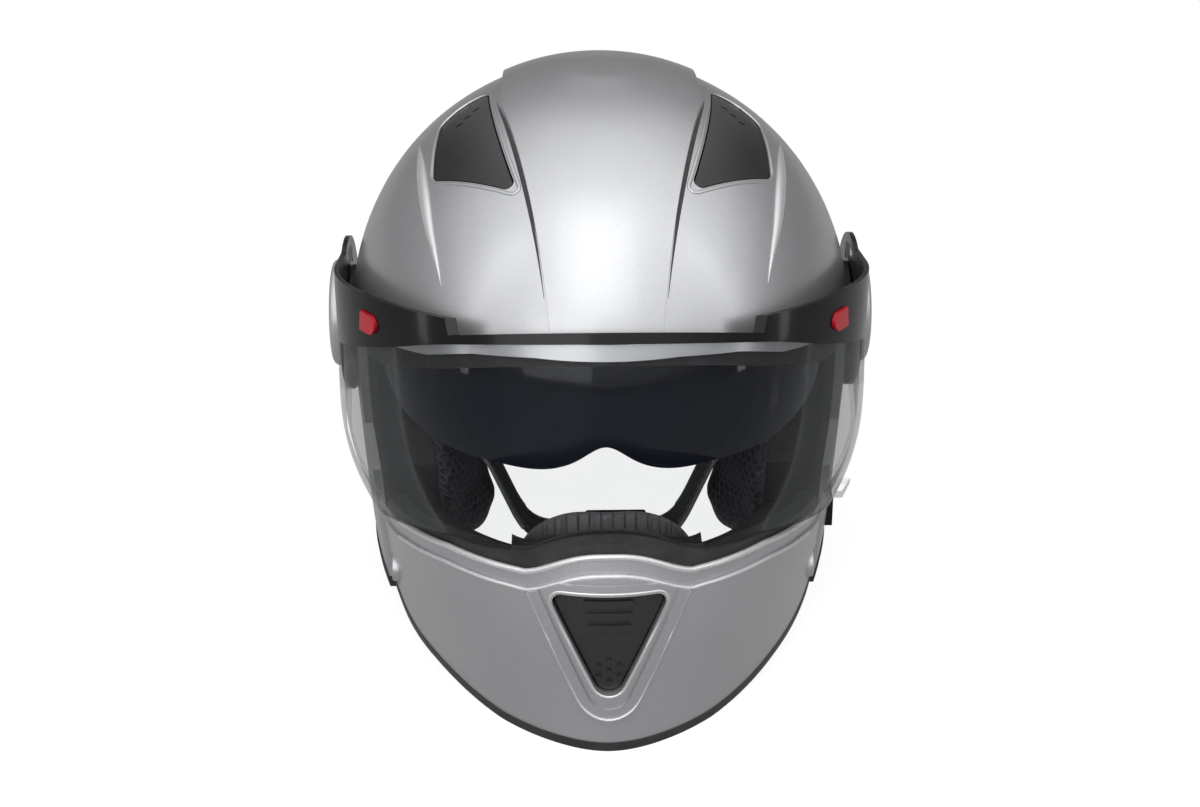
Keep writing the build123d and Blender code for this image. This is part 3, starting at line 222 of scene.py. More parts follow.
def silverPaint():
    # Metal flakes under a clear coat: cells for the flakes, slow noise for the tone, very fine orange peel
    paint = Paint("silverPaint", Metallic=silver["metallic"], Coat_Weight=silver["coat"],
                  Coat_Roughness=silver["coatRoughness"], Coat_IOR=1.45)
    drift = paint.noise(silver["drift"], 3.0)
    flake = paint.axes(paint.cells(silver["flake"], 1))[0]
    share = flake * silver["flakeShare"] + drift * (1 - silver["flakeShare"])
    paint.feed("Base Color", paint.blend(share, silver["dark"], silver["light"]))
    paint.feed("Roughness", silver["roughness"] + (drift - 0.5) * silver["spread"])
    under = paint.bump(paint.noise(silver["peel"]), silver["peelDepth"], 0.6)
    paint.feed("Normal", paint.bump(paint.cells(silver["flake"]), silver["flakeDepth"], 0.5, under))
    return paint.material


def plainPlastic(name, colour, roughness, depth=plastic["depth"], coat=0.0, shift=0.25, metallic=0.0, shine=0.5):
    # Moulded plastic: fine grain in the bump, slow change in roughness and tone
    paint = Paint(name, Metallic=metallic, Coat_Weight=coat, Coat_Roughness=plastic["coatRoughness"],
                  Specular_IOR_Level=shine)
    drift = paint.noise(plastic["drift"], 3.0)
    dark = tuple(c * (1 - shift) for c in colour)
    paint.feed("Base Color", paint.blend(drift, dark, colour))
    paint.feed("Roughness", roughness + (drift - 0.5) * plastic["spread"])
    paint.feed("Normal", paint.bump(paint.noise(plastic["grain"]), depth, 0.6))
    return paint.material


def satinCover():
    # Dark satin, painted paler towards the crown as painted light from the lamps above
    paint = Paint("satinCover", Metallic=darkSatin["metallic"], Coat_Weight=darkSatin["coat"],
                  Coat_Roughness=darkSatin["coatRoughness"])
    drift = paint.noise(darkSatin["drift"], 3.0)
    # Painted light: between these heights the cover's colour goes to a paler grey
    height = paint.axes()[2] - pivotZ
    paintedLightShare = height.step(darkSatin["paintedLightLow"], darkSatin["paintedLightHigh"])
    colour = paint.blend(drift, darkSatin["dark"], darkSatin["light"])
    paint.feed("Base Color", paint.blend(paintedLightShare, colour, darkSatin["paintedLight"]))
    paint.feed("Roughness", darkSatin["roughness"] + (drift - 0.5) * darkSatin["spread"])
    paint.feed("Normal", paint.bump(paint.noise(darkSatin["grain"]), darkSatin["depth"], 0.7))
    return paint.material


def softRubber():
    # Dusty rubber: slow noise for the dust's tone and roughness, fine grain in the bump
    paint = Paint("softRubber", Sheen_Weight=rubber["sheen"], Sheen_Roughness=0.5)
    dust = paint.noise(rubber["dust"], 4.0)
    share = dust.step(rubber["dustLow"], rubber["dustHigh"])
    paint.feed("Base Color", paint.blend(share, rubber["dark"], rubber["light"]))
    paint.feed("Roughness", rubber["roughness"] + dust * rubber["spread"])
    paint.feed("Normal", paint.bump(paint.noise(rubber["grain"]), rubber["depth"], 0.7))
    return paint.material


def guardRubber():
    # Soft moulding with fine upright grooves; it is painted paler towards its top rim as painted light, and darker in
    # the grooves as painted shade
    paint = Paint("guardRubber", Sheen_Weight=guard["sheen"], Sheen_Roughness=0.5)
    x, _, z = paint.axes()
    rise = (z - pivotZ).step(guard["foot"], guard["top"])
    groove = ((x % guard["pitch"]) - guard["pitch"] / 2).size().step(0.0, guard["groove"])
    # Painted shade in the grooves, painted light towards the top
    share = rise * (guard["grooveShade"] + groove * (1 - guard["grooveShade"]))
    paint.feed("Base Color", paint.blend(share, guard["low"], guard["high"]))
    paint.feed("Roughness", guard["roughness"] + paint.noise(rubber["dust"], 4.0) * guard["spread"])
    under = paint.bump(paint.noise(rubber["grain"]), rubber["depth"], 0.7)
    paint.feed("Normal", paint.bump(groove, guard["groove"], 0.8, under))
    return paint.material


def clearLens(name, tint, see, rim, haze, coat):
    # See-through pane: gloss grows towards grazing angles, the rest lets light through
    paint = Paint(name, Base_Color=(*tint, 1), Roughness=lens["roughness"], Coat_Weight=coat,
                  Coat_Roughness=lens["coatRoughness"], Specular_IOR_Level=lens["shine"])
    edge = paint.node("ShaderNodeLayerWeight", {}, {"Blend": lens["edgeBlend"]})
    cloud = paint.noise(lens["cloud"]) * lens["cloudShare"]
    share = (edge * rim + cloud + haze).atMost(1.0)
    paint.mixWith("ShaderNodeBsdfTransparent", (*see, 1), share)
    return paint.material


# Cloth, foam and steel
padMesh = {
    "cell": 0.0044, "hole": (0.005, 0.006, 0.009), "thread": (0.050, 0.055, 0.085), "rim": (0.012, 0.012, 0.015),
    "panelHalf": 0.074, "panelTall": 0.044, "pipe": 0.0016, "pipeRise": 0.0012, "seam": 0.0004,
    "wallFrom": 0.66, "wallTo": 0.84, "wallRise": 0.0007, "weave": 2600.0,
}
lining = {
    "light": (0.105, 0.107, 0.115), "dark": (0.060, 0.062, 0.068), "knit": 0.0013, "knitRise": 0.00008,
    "nap": 260.0, "napRise": 0.0003, "quilt": 0.030, "channel": 0.0022, "channelDepth": 0.0014,
}
strap = {
    "light": (0.10, 0.103, 0.11), "dark": (0.012, 0.012, 0.014), "thread": (0.42, 0.43, 0.45), "pitch": 0.0016,
    "stitchPlace": 0.0095, "stitchLength": 0.0042, "stitchWall": 0.0004, "stitchGap": (0.0008, 0.0012),
    "stitchRise": 0.0003, "ribRise": 0.00025, "weave": 2200.0,
    "wall": 0.0020, "width": 0.024, "forward": 0.022, "bend": 0.012, "edge": 0.0011, "edgeEnd": 0.78, "points": 90,
    "line": ((0.0865, -0.036), (0.0865, -0.051), (0.060, -0.063), (0.041, -0.1075), (0.03075, -0.1155),
             (0.017, -0.1155)),
}
cord = {"dark": (0.26, 0.265, 0.28), "light": (0.46, 0.47, 0.49), "rings": 3800.0, "slant": 600.0, "rise": 0.0002}
foam = {"dark": (0.016, 0.016, 0.018), "light": (0.036, 0.036, 0.040), "tone": 200.0, "bead": 420.0, "rise": 0.0005}
steel = {"dark": (0.42, 0.42, 0.43), "light": (0.66, 0.66, 0.67), "along": 40.0, "across": 900.0, "depth": 0.00002}


def hexCells(paint, along, across, cell):
    # How near the edge of a honeycomb cell a point is, in half cells: two staggered grids, the nearer centre wins
    wide, tall = cell, cell * math.sqrt(3)

    def grid(offset):
        a = ((along + offset * wide) % wide - wide / 2).size()
        b = ((across + offset * tall) % tall - tall / 2).size()
        return a.atLeast(a * 0.5 + b * (math.sqrt(3) / 2))

    return grid(0.0).atMost(grid(0.5)) / (cell / 2)


def honeycombCloth():
    # Open honeycomb knit over dark foam on the pad's own map, inside a piped seam; plain stretch cloth outside it
    paint = Paint("honeycombCloth", Sheen_Weight=0.3, Sheen_Roughness=0.4)
    x, y, _ = paint.axes(paint.node("ShaderNodeUVMap"))
    wall = hexCells(paint, x, y, padMesh["cell"]).step(padMesh["wallFrom"], padMesh["wallTo"])
    thread = paint.noise(padMesh["weave"])
    wide = (x / padMesh["panelHalf"]).size().power(4.0)
    tall = (y / padMesh["panelTall"]).size().power(4.0)
    away = ((wide + tall).power(0.25) - 1) * padMesh["panelTall"]
    outside = away.step(-padMesh["seam"], padMesh["seam"])
    pipe = 1 - away.size().step(padMesh["pipe"] * 0.4, padMesh["pipe"])
    knit = paint.blend(wall * (0.7 + thread * 0.6), padMesh["hole"], padMesh["thread"])
    plain = paint.blend(thread, padMesh["rim"], tuple(2 * c for c in padMesh["rim"]))
    colour = paint.blend(outside, knit, plain)
    paint.feed("Base Color", paint.blend(pipe, colour, padMesh["rim"]))
    paint.feed("Roughness", 0.55 + wall * 0.2)
    under = paint.bump(thread, 0.00006, 0.6)
    under = paint.bump(pipe, padMesh["pipeRise"], 1.0, under)
    paint.feed("Normal", paint.bump(wall * (1 - outside), padMesh["wallRise"], 0.9, under))
    return paint.material


def brushedCloth():
    # Brushed lining: crossed fine waves for the knit, slow noise for its nap, sewn channels in a diamond quilt
    paint = Paint("liningCloth", Sheen_Weight=0.35, Sheen_Roughness=0.35)
    x, y, z = paint.axes()
    turn = 2 * math.pi / lining["knit"]
    knit = (x * turn).wave() * ((y + z) * turn).wave()
    nap = paint.noise(lining["nap"], 4.0)
    half = lining["quilt"] / 2
    slant = y * 0.6 + z * 0.8
    one = ((x + slant) % lining["quilt"] - half).size()
    two = ((x - slant) % lining["quilt"] - half).size()
    channel = one.atMost(two).step(0.0, lining["channel"])
    # The channels are painted darker too: painted shade in the creases of the quilt
    share = (nap.step(0.3, 0.7) * 0.8 + knit * 0.12 + 0.1) * channel
    paint.feed("Base Color", paint.blend(share, lining["dark"], lining["light"]))
    paint.feed("Roughness", 0.78 + nap * 0.15)
    under = paint.bump(nap, lining["napRise"], 0.5)
    under = paint.bump(channel, lining["channelDepth"], 0.8, under)
    paint.feed("Normal", paint.bump(knit, lining["knitRise"], 0.6, under))
    return paint.material


def wovenTape():
    # Webbing: crossed diagonal ribs on the strap's own map, with a row of stitches near each edge
    paint = Paint("strapTape", Sheen_Weight=0.25, Sheen_Roughness=0.4)
    along, across, _ = paint.axes(paint.node("ShaderNodeUVMap"))
    turn = 2 * math.pi / strap["pitch"]
    rib = ((along + across) * turn).wave() * ((along - across) * turn).wave()
    thread = paint.noise(strap["weave"])
    away = (across.size() - strap["stitchPlace"]).size()
    row = 1 - away.step(strap["stitchWall"], 2 * strap["stitchWall"])
    stitch = row * (along % strap["stitchLength"]).step(*strap["stitchGap"])
    cloth = paint.blend((rib * 0.25 + 0.3 + thread * 0.3).atMost(1.0), strap["dark"], strap["light"])
    paint.feed("Base Color", paint.blend(stitch, cloth, strap["thread"]))
    paint.feed("Roughness", 0.7 + thread * 0.15)
    under = paint.bump(rib, strap["ribRise"], 0.7)
    paint.feed("Normal", paint.bump(stitch, strap["stitchRise"], 0.8, under))
    return paint.material


def cordEdge():
    # Woven binding: fine rings round the edge cord, read from its own map
    paint = Paint("edgeBinding", Sheen_Weight=0.3, Sheen_Roughness=0.4)
    along, around, _ = paint.axes(paint.node("ShaderNodeUVMap"))
    ring = ((along * cord["rings"] + around * cord["slant"]).wave() + 1) * 0.5
    paint.feed("Base Color", paint.blend(ring, cord["dark"], cord["light"]))
    paint.feed("Roughness", 0.6 + ring * 0.15)
    paint.feed("Normal", paint.bump(ring, cord["rise"], 0.7))
    return paint.material


def beadFoam():
    # Expanded foam: rounded cells pressed together
    paint = Paint("beadFoam")
    tone = paint.noise(foam["tone"], 3.0)
    paint.feed("Base Color", paint.blend(tone, foam["dark"], foam["light"]))
    paint.feed("Roughness", 0.62 + tone * 0.15)
    paint.feed("Normal", paint.bump(1 - paint.cells(foam["bead"]), foam["rise"], 0.5))
    return paint.material


def brushedSteel():
    # Fine scratches along X over bright metal
    paint = Paint("brushedSteel", Metallic=1.0)
    x, y, z = paint.axes()
    scales = [x * steel["along"], y * steel["across"], z * steel["across"]]
    scratch = paint.noise(1.0, 3.0, paint.node("ShaderNodeCombineXYZ", {}, scales))
    paint.feed("Base Color", paint.blend(scratch, steel["dark"], steel["light"]))
    paint.feed("Roughness", 0.24 + scratch * 0.14)
    paint.feed("Normal", paint.bump(scratch, steel["depth"], 0.6))
    return paint.material


print("making the finishes")
finish = {
    "silver": silverPaint(),
    "blackGloss": plainPlastic("blackGloss", (0.008, 0.008, 0.009), 0.20, 0.000006, coat=0.25, shine=0.2),
    "blackPlastic": plainPlastic("blackPlastic", (0.012, 0.012, 0.014), 0.42, 0.00004, shine=0.2),
    "ventPlastic": plainPlastic("ventPlastic", (0.030, 0.031, 0.033), 0.38, 0.00003, coat=0.2),
    "cover": satinCover(),
    "pale": plainPlastic("palePlastic", (0.66, 0.67, 0.68), 0.34, coat=0.3, shift=0.12, metallic=0.35),
    "bright": plainPlastic("brightTrim", (0.46, 0.46, 0.48), 0.30, 0.000008, 0.4, 0.12, 0.8),
    # Near-white paint for the ridge and edge beads, standing in for painted highlights
    "paintedHighlight": plainPlastic("paintedHighlight", (0.86, 0.865, 0.88), 0.28, 0.000008, 0.5, 0.06, 0.3),
    "guard": guardRubber(),
    "red": plainPlastic("redPlastic", (0.80, 0.008, 0.03), 0.30, 0.00001, coat=0.5, shift=0.2),
    "rubber": softRubber(),
    "clear": clearLens("clearLens", lens["clearTint"], lens["clearSee"], lens["clearRim"], lens["clearHaze"], 1.0),
    "sunTint": clearLens("sunTint", lens["sunTint"], lens["sunSee"], lens["sunRim"], lens["sunHaze"], 0.1),
    "mesh": honeycombCloth(),
    "lining": brushedCloth(),
    "tape": wovenTape(),
    "edge": cordEdge(),
    "foam": beadFoam(),
    "steel": brushedSteel(),
}
slotFinish = {
    "shell_paint": "silver", "black_gloss": "blackGloss", "dark_satin": "cover", "black_plastic": "blackPlastic",
    "pale_plastic": "pale", "bright_trim": "bright", "red_plastic": "red", "clear_lens": "clear",
    "sun_tint": "sunTint", "edge_rubber": "rubber", "foam": "foam", "lining": "lining", "mesh_lining": "mesh",
    "webbing": "tape", "steel": "steel",
}
ownFinish = {"chin_vent_flap": "ventPlastic", "breath_guard": "guard"}
nodeSlot = {part["node"]: part["material_slot"] for part in frame["record"]["subparts"]}
for name, solid in nodes.items():
    solid.data.materials.clear()
    solid.data.materials.append(finish[ownFinish.get(name) or slotFinish[nodeSlot[name]]])


def addPiece(name, mesh, look, body):
    piece = bpy.data.objects.new(name, mesh)
    bpy.context.scene.collection.objects.link(piece)
    mesh.materials.clear()
    mesh.materials.append(finish[look])
    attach(piece, body)
    return piece


def unit(arrows):
    return arrows / np.linalg.norm(arrows, axis=-1, keepdims=True)


def ramp(values, low, high):
    # 0 at low, 1 at high, smooth between
    share = np.clip((values - low) / (high - low), 0, 1)
    return share * share * (3 - 2 * share)


def roundedLine(corners, cut, closed=False, steps=10):
    # Line through the corners, each replaced by a quadratic curve that starts and ends a cut away from it
    corners = np.array(corners, float)
    ends = []
    for turn in (1, -1):
        arrow = np.roll(corners, turn, 0) - corners
        ends.append(corners + unit(arrow) * np.minimum(cut, np.linalg.norm(arrow, axis=1) / 2)[:, None])
    share = np.linspace(0, 1, steps)[None, :, None]
    curves = (1 - share) ** 2 * ends[0][:, None] + 2 * share * (1 - share) * corners[:, None]
    curves = curves + share ** 2 * ends[1][:, None]
    if closed:
        return curves.reshape(-1, corners.shape[1])
    return np.concatenate([corners[:1], curves[1:-1].reshape(-1, corners.shape[1]), corners[-1:]])


def evenly(line, count, closed=False):
    # The same line as points at equal distances along it
    if closed:
        line = np.concatenate([line, line[:1]])
    run = np.concatenate([[0], np.cumsum(np.linalg.norm(np.diff(line, axis=0), axis=1))])
    at = np.linspace(0, run[-1], count + 1 if closed else count)
    points = np.stack([np.interp(at, run, line[:, i]) for i in range(line.shape[1])], 1)
    return points[:-1] if closed else points


def sweepMesh(name, path, ups, profile, closed=False, taper=None):
    # Closed profile (side, up) carried along a path: point = path + side * (direction x up) + up; ends are capped
    count, ring = len(path), len(profile)
    shares = np.ones(count) if taper is None else taper
    if closed:
        along = unit(np.roll(path, -1, 0) - np.roll(path, 1, 0))
    else:
        along = unit(np.gradient(path, axis=0))
    sides = unit(np.cross(along, ups))
    ups = unit(np.cross(sides, along))
    sized = profile[None] * shares[:, None, None]
    points = path[:, None] + sized[:, :, :1] * sides[:, None] + sized[:, :, 1:] * ups[:, None]
    rows = count if closed else count - 1
    i, j = np.meshgrid(np.arange(rows), np.arange(ring), indexing="ij")
    i, j = i.ravel(), j.ravel()
    nextI, nextJ = (i + 1) % count, (j + 1) % ring
    faces = np.stack([i * ring + j, nextI * ring + j, nextI * ring + nextJ, i * ring + nextJ], 1).tolist()
    if not closed:
        faces += [list(range(ring)), list(range((count - 1) * ring, count * ring))[::-1]]
    mesh = bpy.data.meshes.new(name)
    mesh.from_pydata(points.reshape(-1, 3).tolist(), [], faces)
    run = np.concatenate([[0], np.cumsum(np.linalg.norm(np.diff(path, axis=0), axis=1))])
    writeMap(mesh, np.stack([np.repeat(run, ring), np.tile(profile[:, 1], count)], 1))
    straighten(mesh)
    return mesh


def writeMap(mesh, flat):
    # The piece's own map, in metres, from one place per vertex
    corner = np.empty(len(mesh.loops), np.int32)
    mesh.loops.foreach_get("vertex_index", corner)
    layer = mesh.uv_layers.new(name="flat")
    layer.data.foreach_set("uv", flat[corner].astype(np.float32).ravel())


def straighten(mesh):
    # Faces outwards, shaded smooth
    board = bmesh.new()
    board.from_mesh(mesh)
    bmesh.ops.recalc_face_normals(board, faces=board.faces)
    board.to_mesh(mesh)
    board.free()
    mesh.shade_smooth()


def slab(width, wall, steps=5):
    # Cross-section of a flat strap: a box with half-round edges, as (side, up) points
    turns = np.linspace(-np.pi / 2, np.pi / 2, steps)
    half, edge = width / 2 - wall / 2, wall / 2
    top = np.stack([np.sin(turns) * edge, half + np.cos(turns) * edge], 1)
    return np.concatenate([top[::-1], -top[::-1]])


def circle(radius, steps=10):
    turns = np.linspace(0, 2 * np.pi, steps + 1)[:-1]
    return np.stack([np.cos(turns), np.sin(turns)], 1) * radius


def lowBead(half, rise, sink, steps=9):
    # Cross-section of a bead: half an ellipse over a shallow root
    turns = np.linspace(0, np.pi, steps)
    bead = np.stack([np.cos(turns) * half, np.sin(turns) * rise], 1)
    return np.concatenate([bead, [[-half, -sink], [half, -sink]]])


def makeStraps():
    # Webbing along the rounded line of each strap, with a pale bound cord on both edges of its upper part
    count = strap["points"]
    line = evenly(roundedLine(strap["line"], strap["bend"]), count)
    ups = np.tile([0.0, 1.0, 0.0], (count, 1))
    for side, label in ((1, "left"), (-1, "right")):
        path = np.stack([side * line[:, 0], np.full(count, -strap["forward"]), line[:, 1]], 1) + pivot
        mesh = sweepMesh("strapWebbing_" + label, path, ups, slab(strap["width"], strap["wall"]))
        piece = addPiece("strapWebbing_" + label, mesh, "tape", "helmet_shell")
        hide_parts("chin_strap_" + label)
        upper = path[: int(count * strap["edgeEnd"])]
        for end, word in ((-1, "Front"), (1, "Rear")):
            edge = upper + np.array([0, end * strap["width"] / 2, 0])
            mesh = sweepMesh("strap" + word + "Edge_" + label, edge, ups[: len(edge)], circle(strap["edge"]))
            addPiece("strap" + word + "Edge_" + label, mesh, "edge", "helmet_shell")


# The shell's egg about the pivot: its half axes, and the power of its height
egg = {"half": 0.125, "front": 0.151, "rear": 0.165, "crown": 0.1245, "fullness": 2.1, "search": 0.04, "halvings": 40}


def eggSurface(points, arrows):
    # Distance along each arrow to the shell's egg, found by halving: the sum of the scaled powers is 1 on it
    low, high = np.full(len(points), -egg["search"]), np.full(len(points), egg["search"])
    for _ in range(egg["halvings"]):
        middle = (low + high) / 2
        spot = points + arrows * middle[:, None]
        reach = np.where(spot[:, 1] < 0, egg["front"], egg["rear"])
        level = (spot[:, 0] / egg["half"]) ** 2 + (spot[:, 1] / reach) ** 2
        level = level + (np.maximum(spot[:, 2], 0) / egg["crown"]) ** egg["fullness"]
        low, high = np.where(level < 1, middle, low), np.where(level < 1, high, middle)
    return points + arrows * ((low + high) / 2)[:, None]


def grown(flat, away):
    # A closed outline moved outwards by a distance: each point goes along the normal of its neighbours' chord
    along = unit(np.roll(flat, -1, 0) - np.roll(flat, 1, 0))
    turned = np.stack([along[:, 1], -along[:, 0]], 1)
    return flat + turned * np.sign(np.sum(turned * (flat - flat.mean(0)), 1).mean()) * away


# Raised edge round each crown vent: the vent's flat, its outline in shares of length and width, and the bead
ventRim = {
    "side": 0.062, "forward": 0.035, "height": 0.100, "lean": 26.1, "pitch": 13.7, "length": 0.099, "width": 0.040,
    "outline": ((-0.43, -0.31), (-0.445, 0.06), (-0.35, 0.37), (0.185, 0.52), (0.575, -0.465)), "corner": 0.006,
    "away": 0.0013, "half": 0.0010, "rise": 0.0006, "sink": 0.0004, "points": 160, "arcPoints": 7,
}


def makeVentRims():
    # The outline, a little larger than the hole, is dropped on the egg and carries a low half-round bead
    lean, pitch = math.radians(ventRim["lean"]), math.radians(ventRim["pitch"])
    bead = lowBead(ventRim["half"], ventRim["rise"], ventRim["sink"], ventRim["arcPoints"])
    flat = np.array(ventRim["outline"]) * [ventRim["length"], ventRim["width"]]
    flat = evenly(roundedLine(flat, ventRim["corner"], True), ventRim["points"], True)
    flat = grown(flat, ventRim["away"])
    for side, label in ((1, "left"), (-1, "right")):
        level = math.cos(pitch)
        normal = np.array([side * math.sin(lean) * level, -math.sin(pitch), math.cos(lean) * level])
        forward = unit(np.array([0, -1, 0]) - normal * math.sin(pitch))
        outward = side * np.cross(normal, forward)
        origin = np.array([side * ventRim["side"], -ventRim["forward"], ventRim["height"]])
        points = origin + flat[:, :1] * forward + flat[:, 1:] * outward
        ups = np.tile(normal, (len(points), 1))
        mesh = sweepMesh("ventRim_" + label, eggSurface(points, ups) + pivot, ups, bead, True)
        addPiece("ventRim_" + label, mesh, "silver", "helmet_shell")


# Shell lines: a rolled ridge on each side, painted near-white as a painted highlight, and a dark bead beside the
# raised band as painted shade, as (side, forward) points in order
shellLine = {
    "ridge": ((0.0885, 0.004), (0.0872, 0.020), (0.0850, 0.045), (0.0808, 0.075), (0.0772, 0.090), (0.0735, 0.104)),
    "ridgeHalf": 0.0030, "ridgeRise": 0.0015,
    "joint": ((0.0500, 0.012), (0.0486, 0.024), (0.0272, 0.130)), "jointHalf": 0.0011, "jointRise": 0.0004,
    "lift": 0.0002, "sink": 0.0009, "bend": 0.02, "points": 90, "tip": 0.05,
}


def makeShellLine(name, kind, side, look):
    # The line lies on the shell's egg: height = crown * (1 - side squared - forward squared) to 1 / fullness
    flat = evenly(roundedLine(shellLine[kind], shellLine["bend"]), shellLine["points"])
    power = egg["fullness"]
    left = 1 - (flat[:, 0] / egg["half"]) ** 2 - (flat[:, 1] / egg["front"]) ** 2
    height = egg["crown"] * np.maximum(left, 0) ** (1 / power)
    path = np.stack([side * flat[:, 0], -flat[:, 1], height], 1)
    slope = np.stack([2 * path[:, 0] / egg["half"] ** 2, 2 * path[:, 1] / egg["front"] ** 2,
                      power * height ** (power - 1) / egg["crown"] ** power], 1)
    taper = shellLine["tip"] + (1 - shellLine["tip"]) * np.sin(np.pi * np.linspace(0, 1, len(path)))
    path = path + unit(slope) * shellLine["lift"] + pivot
    bead = lowBead(shellLine[kind + "Half"], shellLine[kind + "Rise"], shellLine["sink"])
    mesh = sweepMesh(name, path, unit(slope), bead, taper=taper)
    addPiece(name, mesh, look, "helmet_shell")


def makeShellLines():
    for side, label in ((1, "left"), (-1, "right")):
        # The ridge carries a painted highlight; the dark bead beside the band is painted shade
        makeShellLine("shellRidge_" + label, "ridge", side, "paintedHighlight")
        makeShellLine("bandJoint_" + label, "joint", side, "rubber")


# Chin guard: its levels (height, half width, forward reach, fullness), the lip seen from the side, and its vent
chin = {
    "levels": ((-0.140, 0.112, 0.1915, 1.72), (-0.105, 0.1145, 0.1905, 1.85), (-0.078, 0.1165, 0.191, 1.95),
               (-0.050, 0.118, 0.1885, 2.0), (-0.030, 0.1185, 0.185, 2.0)),
    "lip": ((0.057, -0.079), (0.083, -0.071), (0.115, -0.0615), (0.148, -0.053), (0.176, -0.0495)),
    "humpHalf": 0.043, "humpTop": -0.0386, "humpFoot": -0.0503, "humpPower": 2.8, "reach": 57.0, "lipPoints": 161,
    "lipBead": 0.0015, "lipDrop": 0.0003, "lipSink": 0.0017,
    "band": 0.0079, "stepBead": 0.0009, "stepProud": 0.0002,
    "bezel": ((-0.041, -0.044), (0.041, -0.044), (0.0, -0.140)), "bezelRadii": (0.004, 0.004, 0.015),
    "bezelBead": 0.0006, "bezelProud": 0.0017, "bezelMiddle": 0.08, "bezelPoints": 400,
    "hole": ((-0.027, -0.055), (0.027, -0.055), (0.0, -0.1137)), "holeRadii": (0.004, 0.004, 0.007),
    "holeBead": 0.0008, "holeAway": 0.0010, "holePoints": 220,
}


def chinLevel(height):
    # Half width, forward reach and fullness of the guard at each height, between its levels
    levels = np.array(chin["levels"])
    return [np.interp(height, levels[:, 0], levels[:, i]) for i in (1, 2, 3)]


def chinReach(side, height, grow):
    # Forward reach of the guard: front * (1 - (side / half width) to the fullness) to 1 / fullness
    half, front, power = chinLevel(height)
    return (front + grow) * np.maximum(1 - (np.abs(side) / (half + grow)) ** power, 0) ** (1 / power)


def lipPath(lift, grow):
    # Side and forward distances go round the bow; the height is the side view's line or the hump, whichever is more
    line = np.array(chin["lip"])
    turn = np.radians(np.linspace(-chin["reach"], chin["reach"], chin["lipPoints"]))
    height = np.full(len(turn), chin["humpFoot"])
    for _ in range(4):
        half, front, power = chinLevel(height)
        side = (half + grow) * np.sign(turn) * np.abs(np.sin(turn)) ** (2 / power)
        forward = (front + grow) * np.abs(np.cos(turn)) ** (2 / power)
        share = np.clip(np.abs(side) / chin["humpHalf"], 0, 1)
        fall = np.sin(share * np.pi / 2) ** chin["humpPower"]
        hump = chin["humpTop"] + (chin["humpFoot"] - chin["humpTop"]) * fall
        hump = np.where(share < 1, hump, -1)
        height = np.maximum(np.interp(forward, line[:, 0], line[:, 1]), hump) + lift
    return np.stack([side, -forward, height], 1)


def filletLine(corners, radii, steps=12):
    # Closed outline whose corners are circular arcs: each arc's centre lies on the corner's bisector
    corners, radii = np.array(corners), np.array(radii)[:, None]
    back, ahead = unit(np.roll(corners, 1, 0) - corners), unit(np.roll(corners, -1, 0) - corners)
    half = np.arccos(np.sum(back * ahead, 1, keepdims=True)) / 2
    centres = corners + unit(back + ahead) * radii / np.sin(half)
    start, end = (way * radii / np.tan(half) + corners - centres for way in (back, ahead))
    share = np.linspace(0, 1, steps)[None, :, None]
    spread = (np.pi - 2 * half)[:, None]
    arcs = np.sin((1 - share) * spread) * start[:, None] + np.sin(share * spread) * end[:, None]
    return (centres[:, None] + arcs / np.sin(spread)).reshape(-1, 2)


def addChinEdge(name, path, ups, size, closed=False):
    # The bead is painted near-white, a painted highlight
    mesh = sweepMesh(name, path + pivot, ups, circle(size), closed)
    addPiece(name, mesh, "paintedHighlight", "chin_guard")


def makeChinEdges():
    # Rolled edges painted near-white as painted highlights: along the lip, along the step under it, and round the
    # vent's frame and hole
    path = lipPath(-chin["lipDrop"], -chin["lipSink"])
    addChinEdge("lipEdge", path, unit(path * [1, 1, 0]), chin["lipBead"])
    path = lipPath(-chin["band"], chin["stepProud"])
    addChinEdge("lipStepEdge", path, unit(path * [1, 1, 0]), chin["stepBead"])
    # The frame's edge starts and ends under the step and runs in order of its turn about the vent's middle
    under = lipPath(-chin["band"], 0.0)
    bezel = evenly(filletLine(chin["bezel"], chin["bezelRadii"]), chin["bezelPoints"], True)
    bezel = bezel[bezel[:, 1] < np.interp(bezel[:, 0], under[:, 0], under[:, 2])]
    bezel = bezel[np.argsort(np.arctan2(bezel[:, 0], -bezel[:, 1] - chin["bezelMiddle"]))]
    hole = evenly(filletLine(chin["hole"], chin["holeRadii"]), chin["holePoints"], True)
    hole = grown(hole, chin["holeAway"])
    for name, flat, size, closed in (("ventFrameEdge", bezel, chin["bezelBead"], False),
                                     ("ventHoleEdge", hole, chin["holeBead"], True)):
        reach = chinReach(flat[:, 0], flat[:, 1], chin["bezelProud"])
        path = np.stack([flat[:, 0], -reach, flat[:, 1]], 1)
        addChinEdge(name, path, np.tile([0.0, -1.0, 0.0], (len(path), 1)), size, closed)


# Clear insert in the window of each shield ear: radius and half width about the pivot, faces across, reach in degrees
earPane = {"radius": 0.030, "half": 0.0042, "inner": 0.1262, "outer": 0.1276, "reach": 26.5, "points": 25}


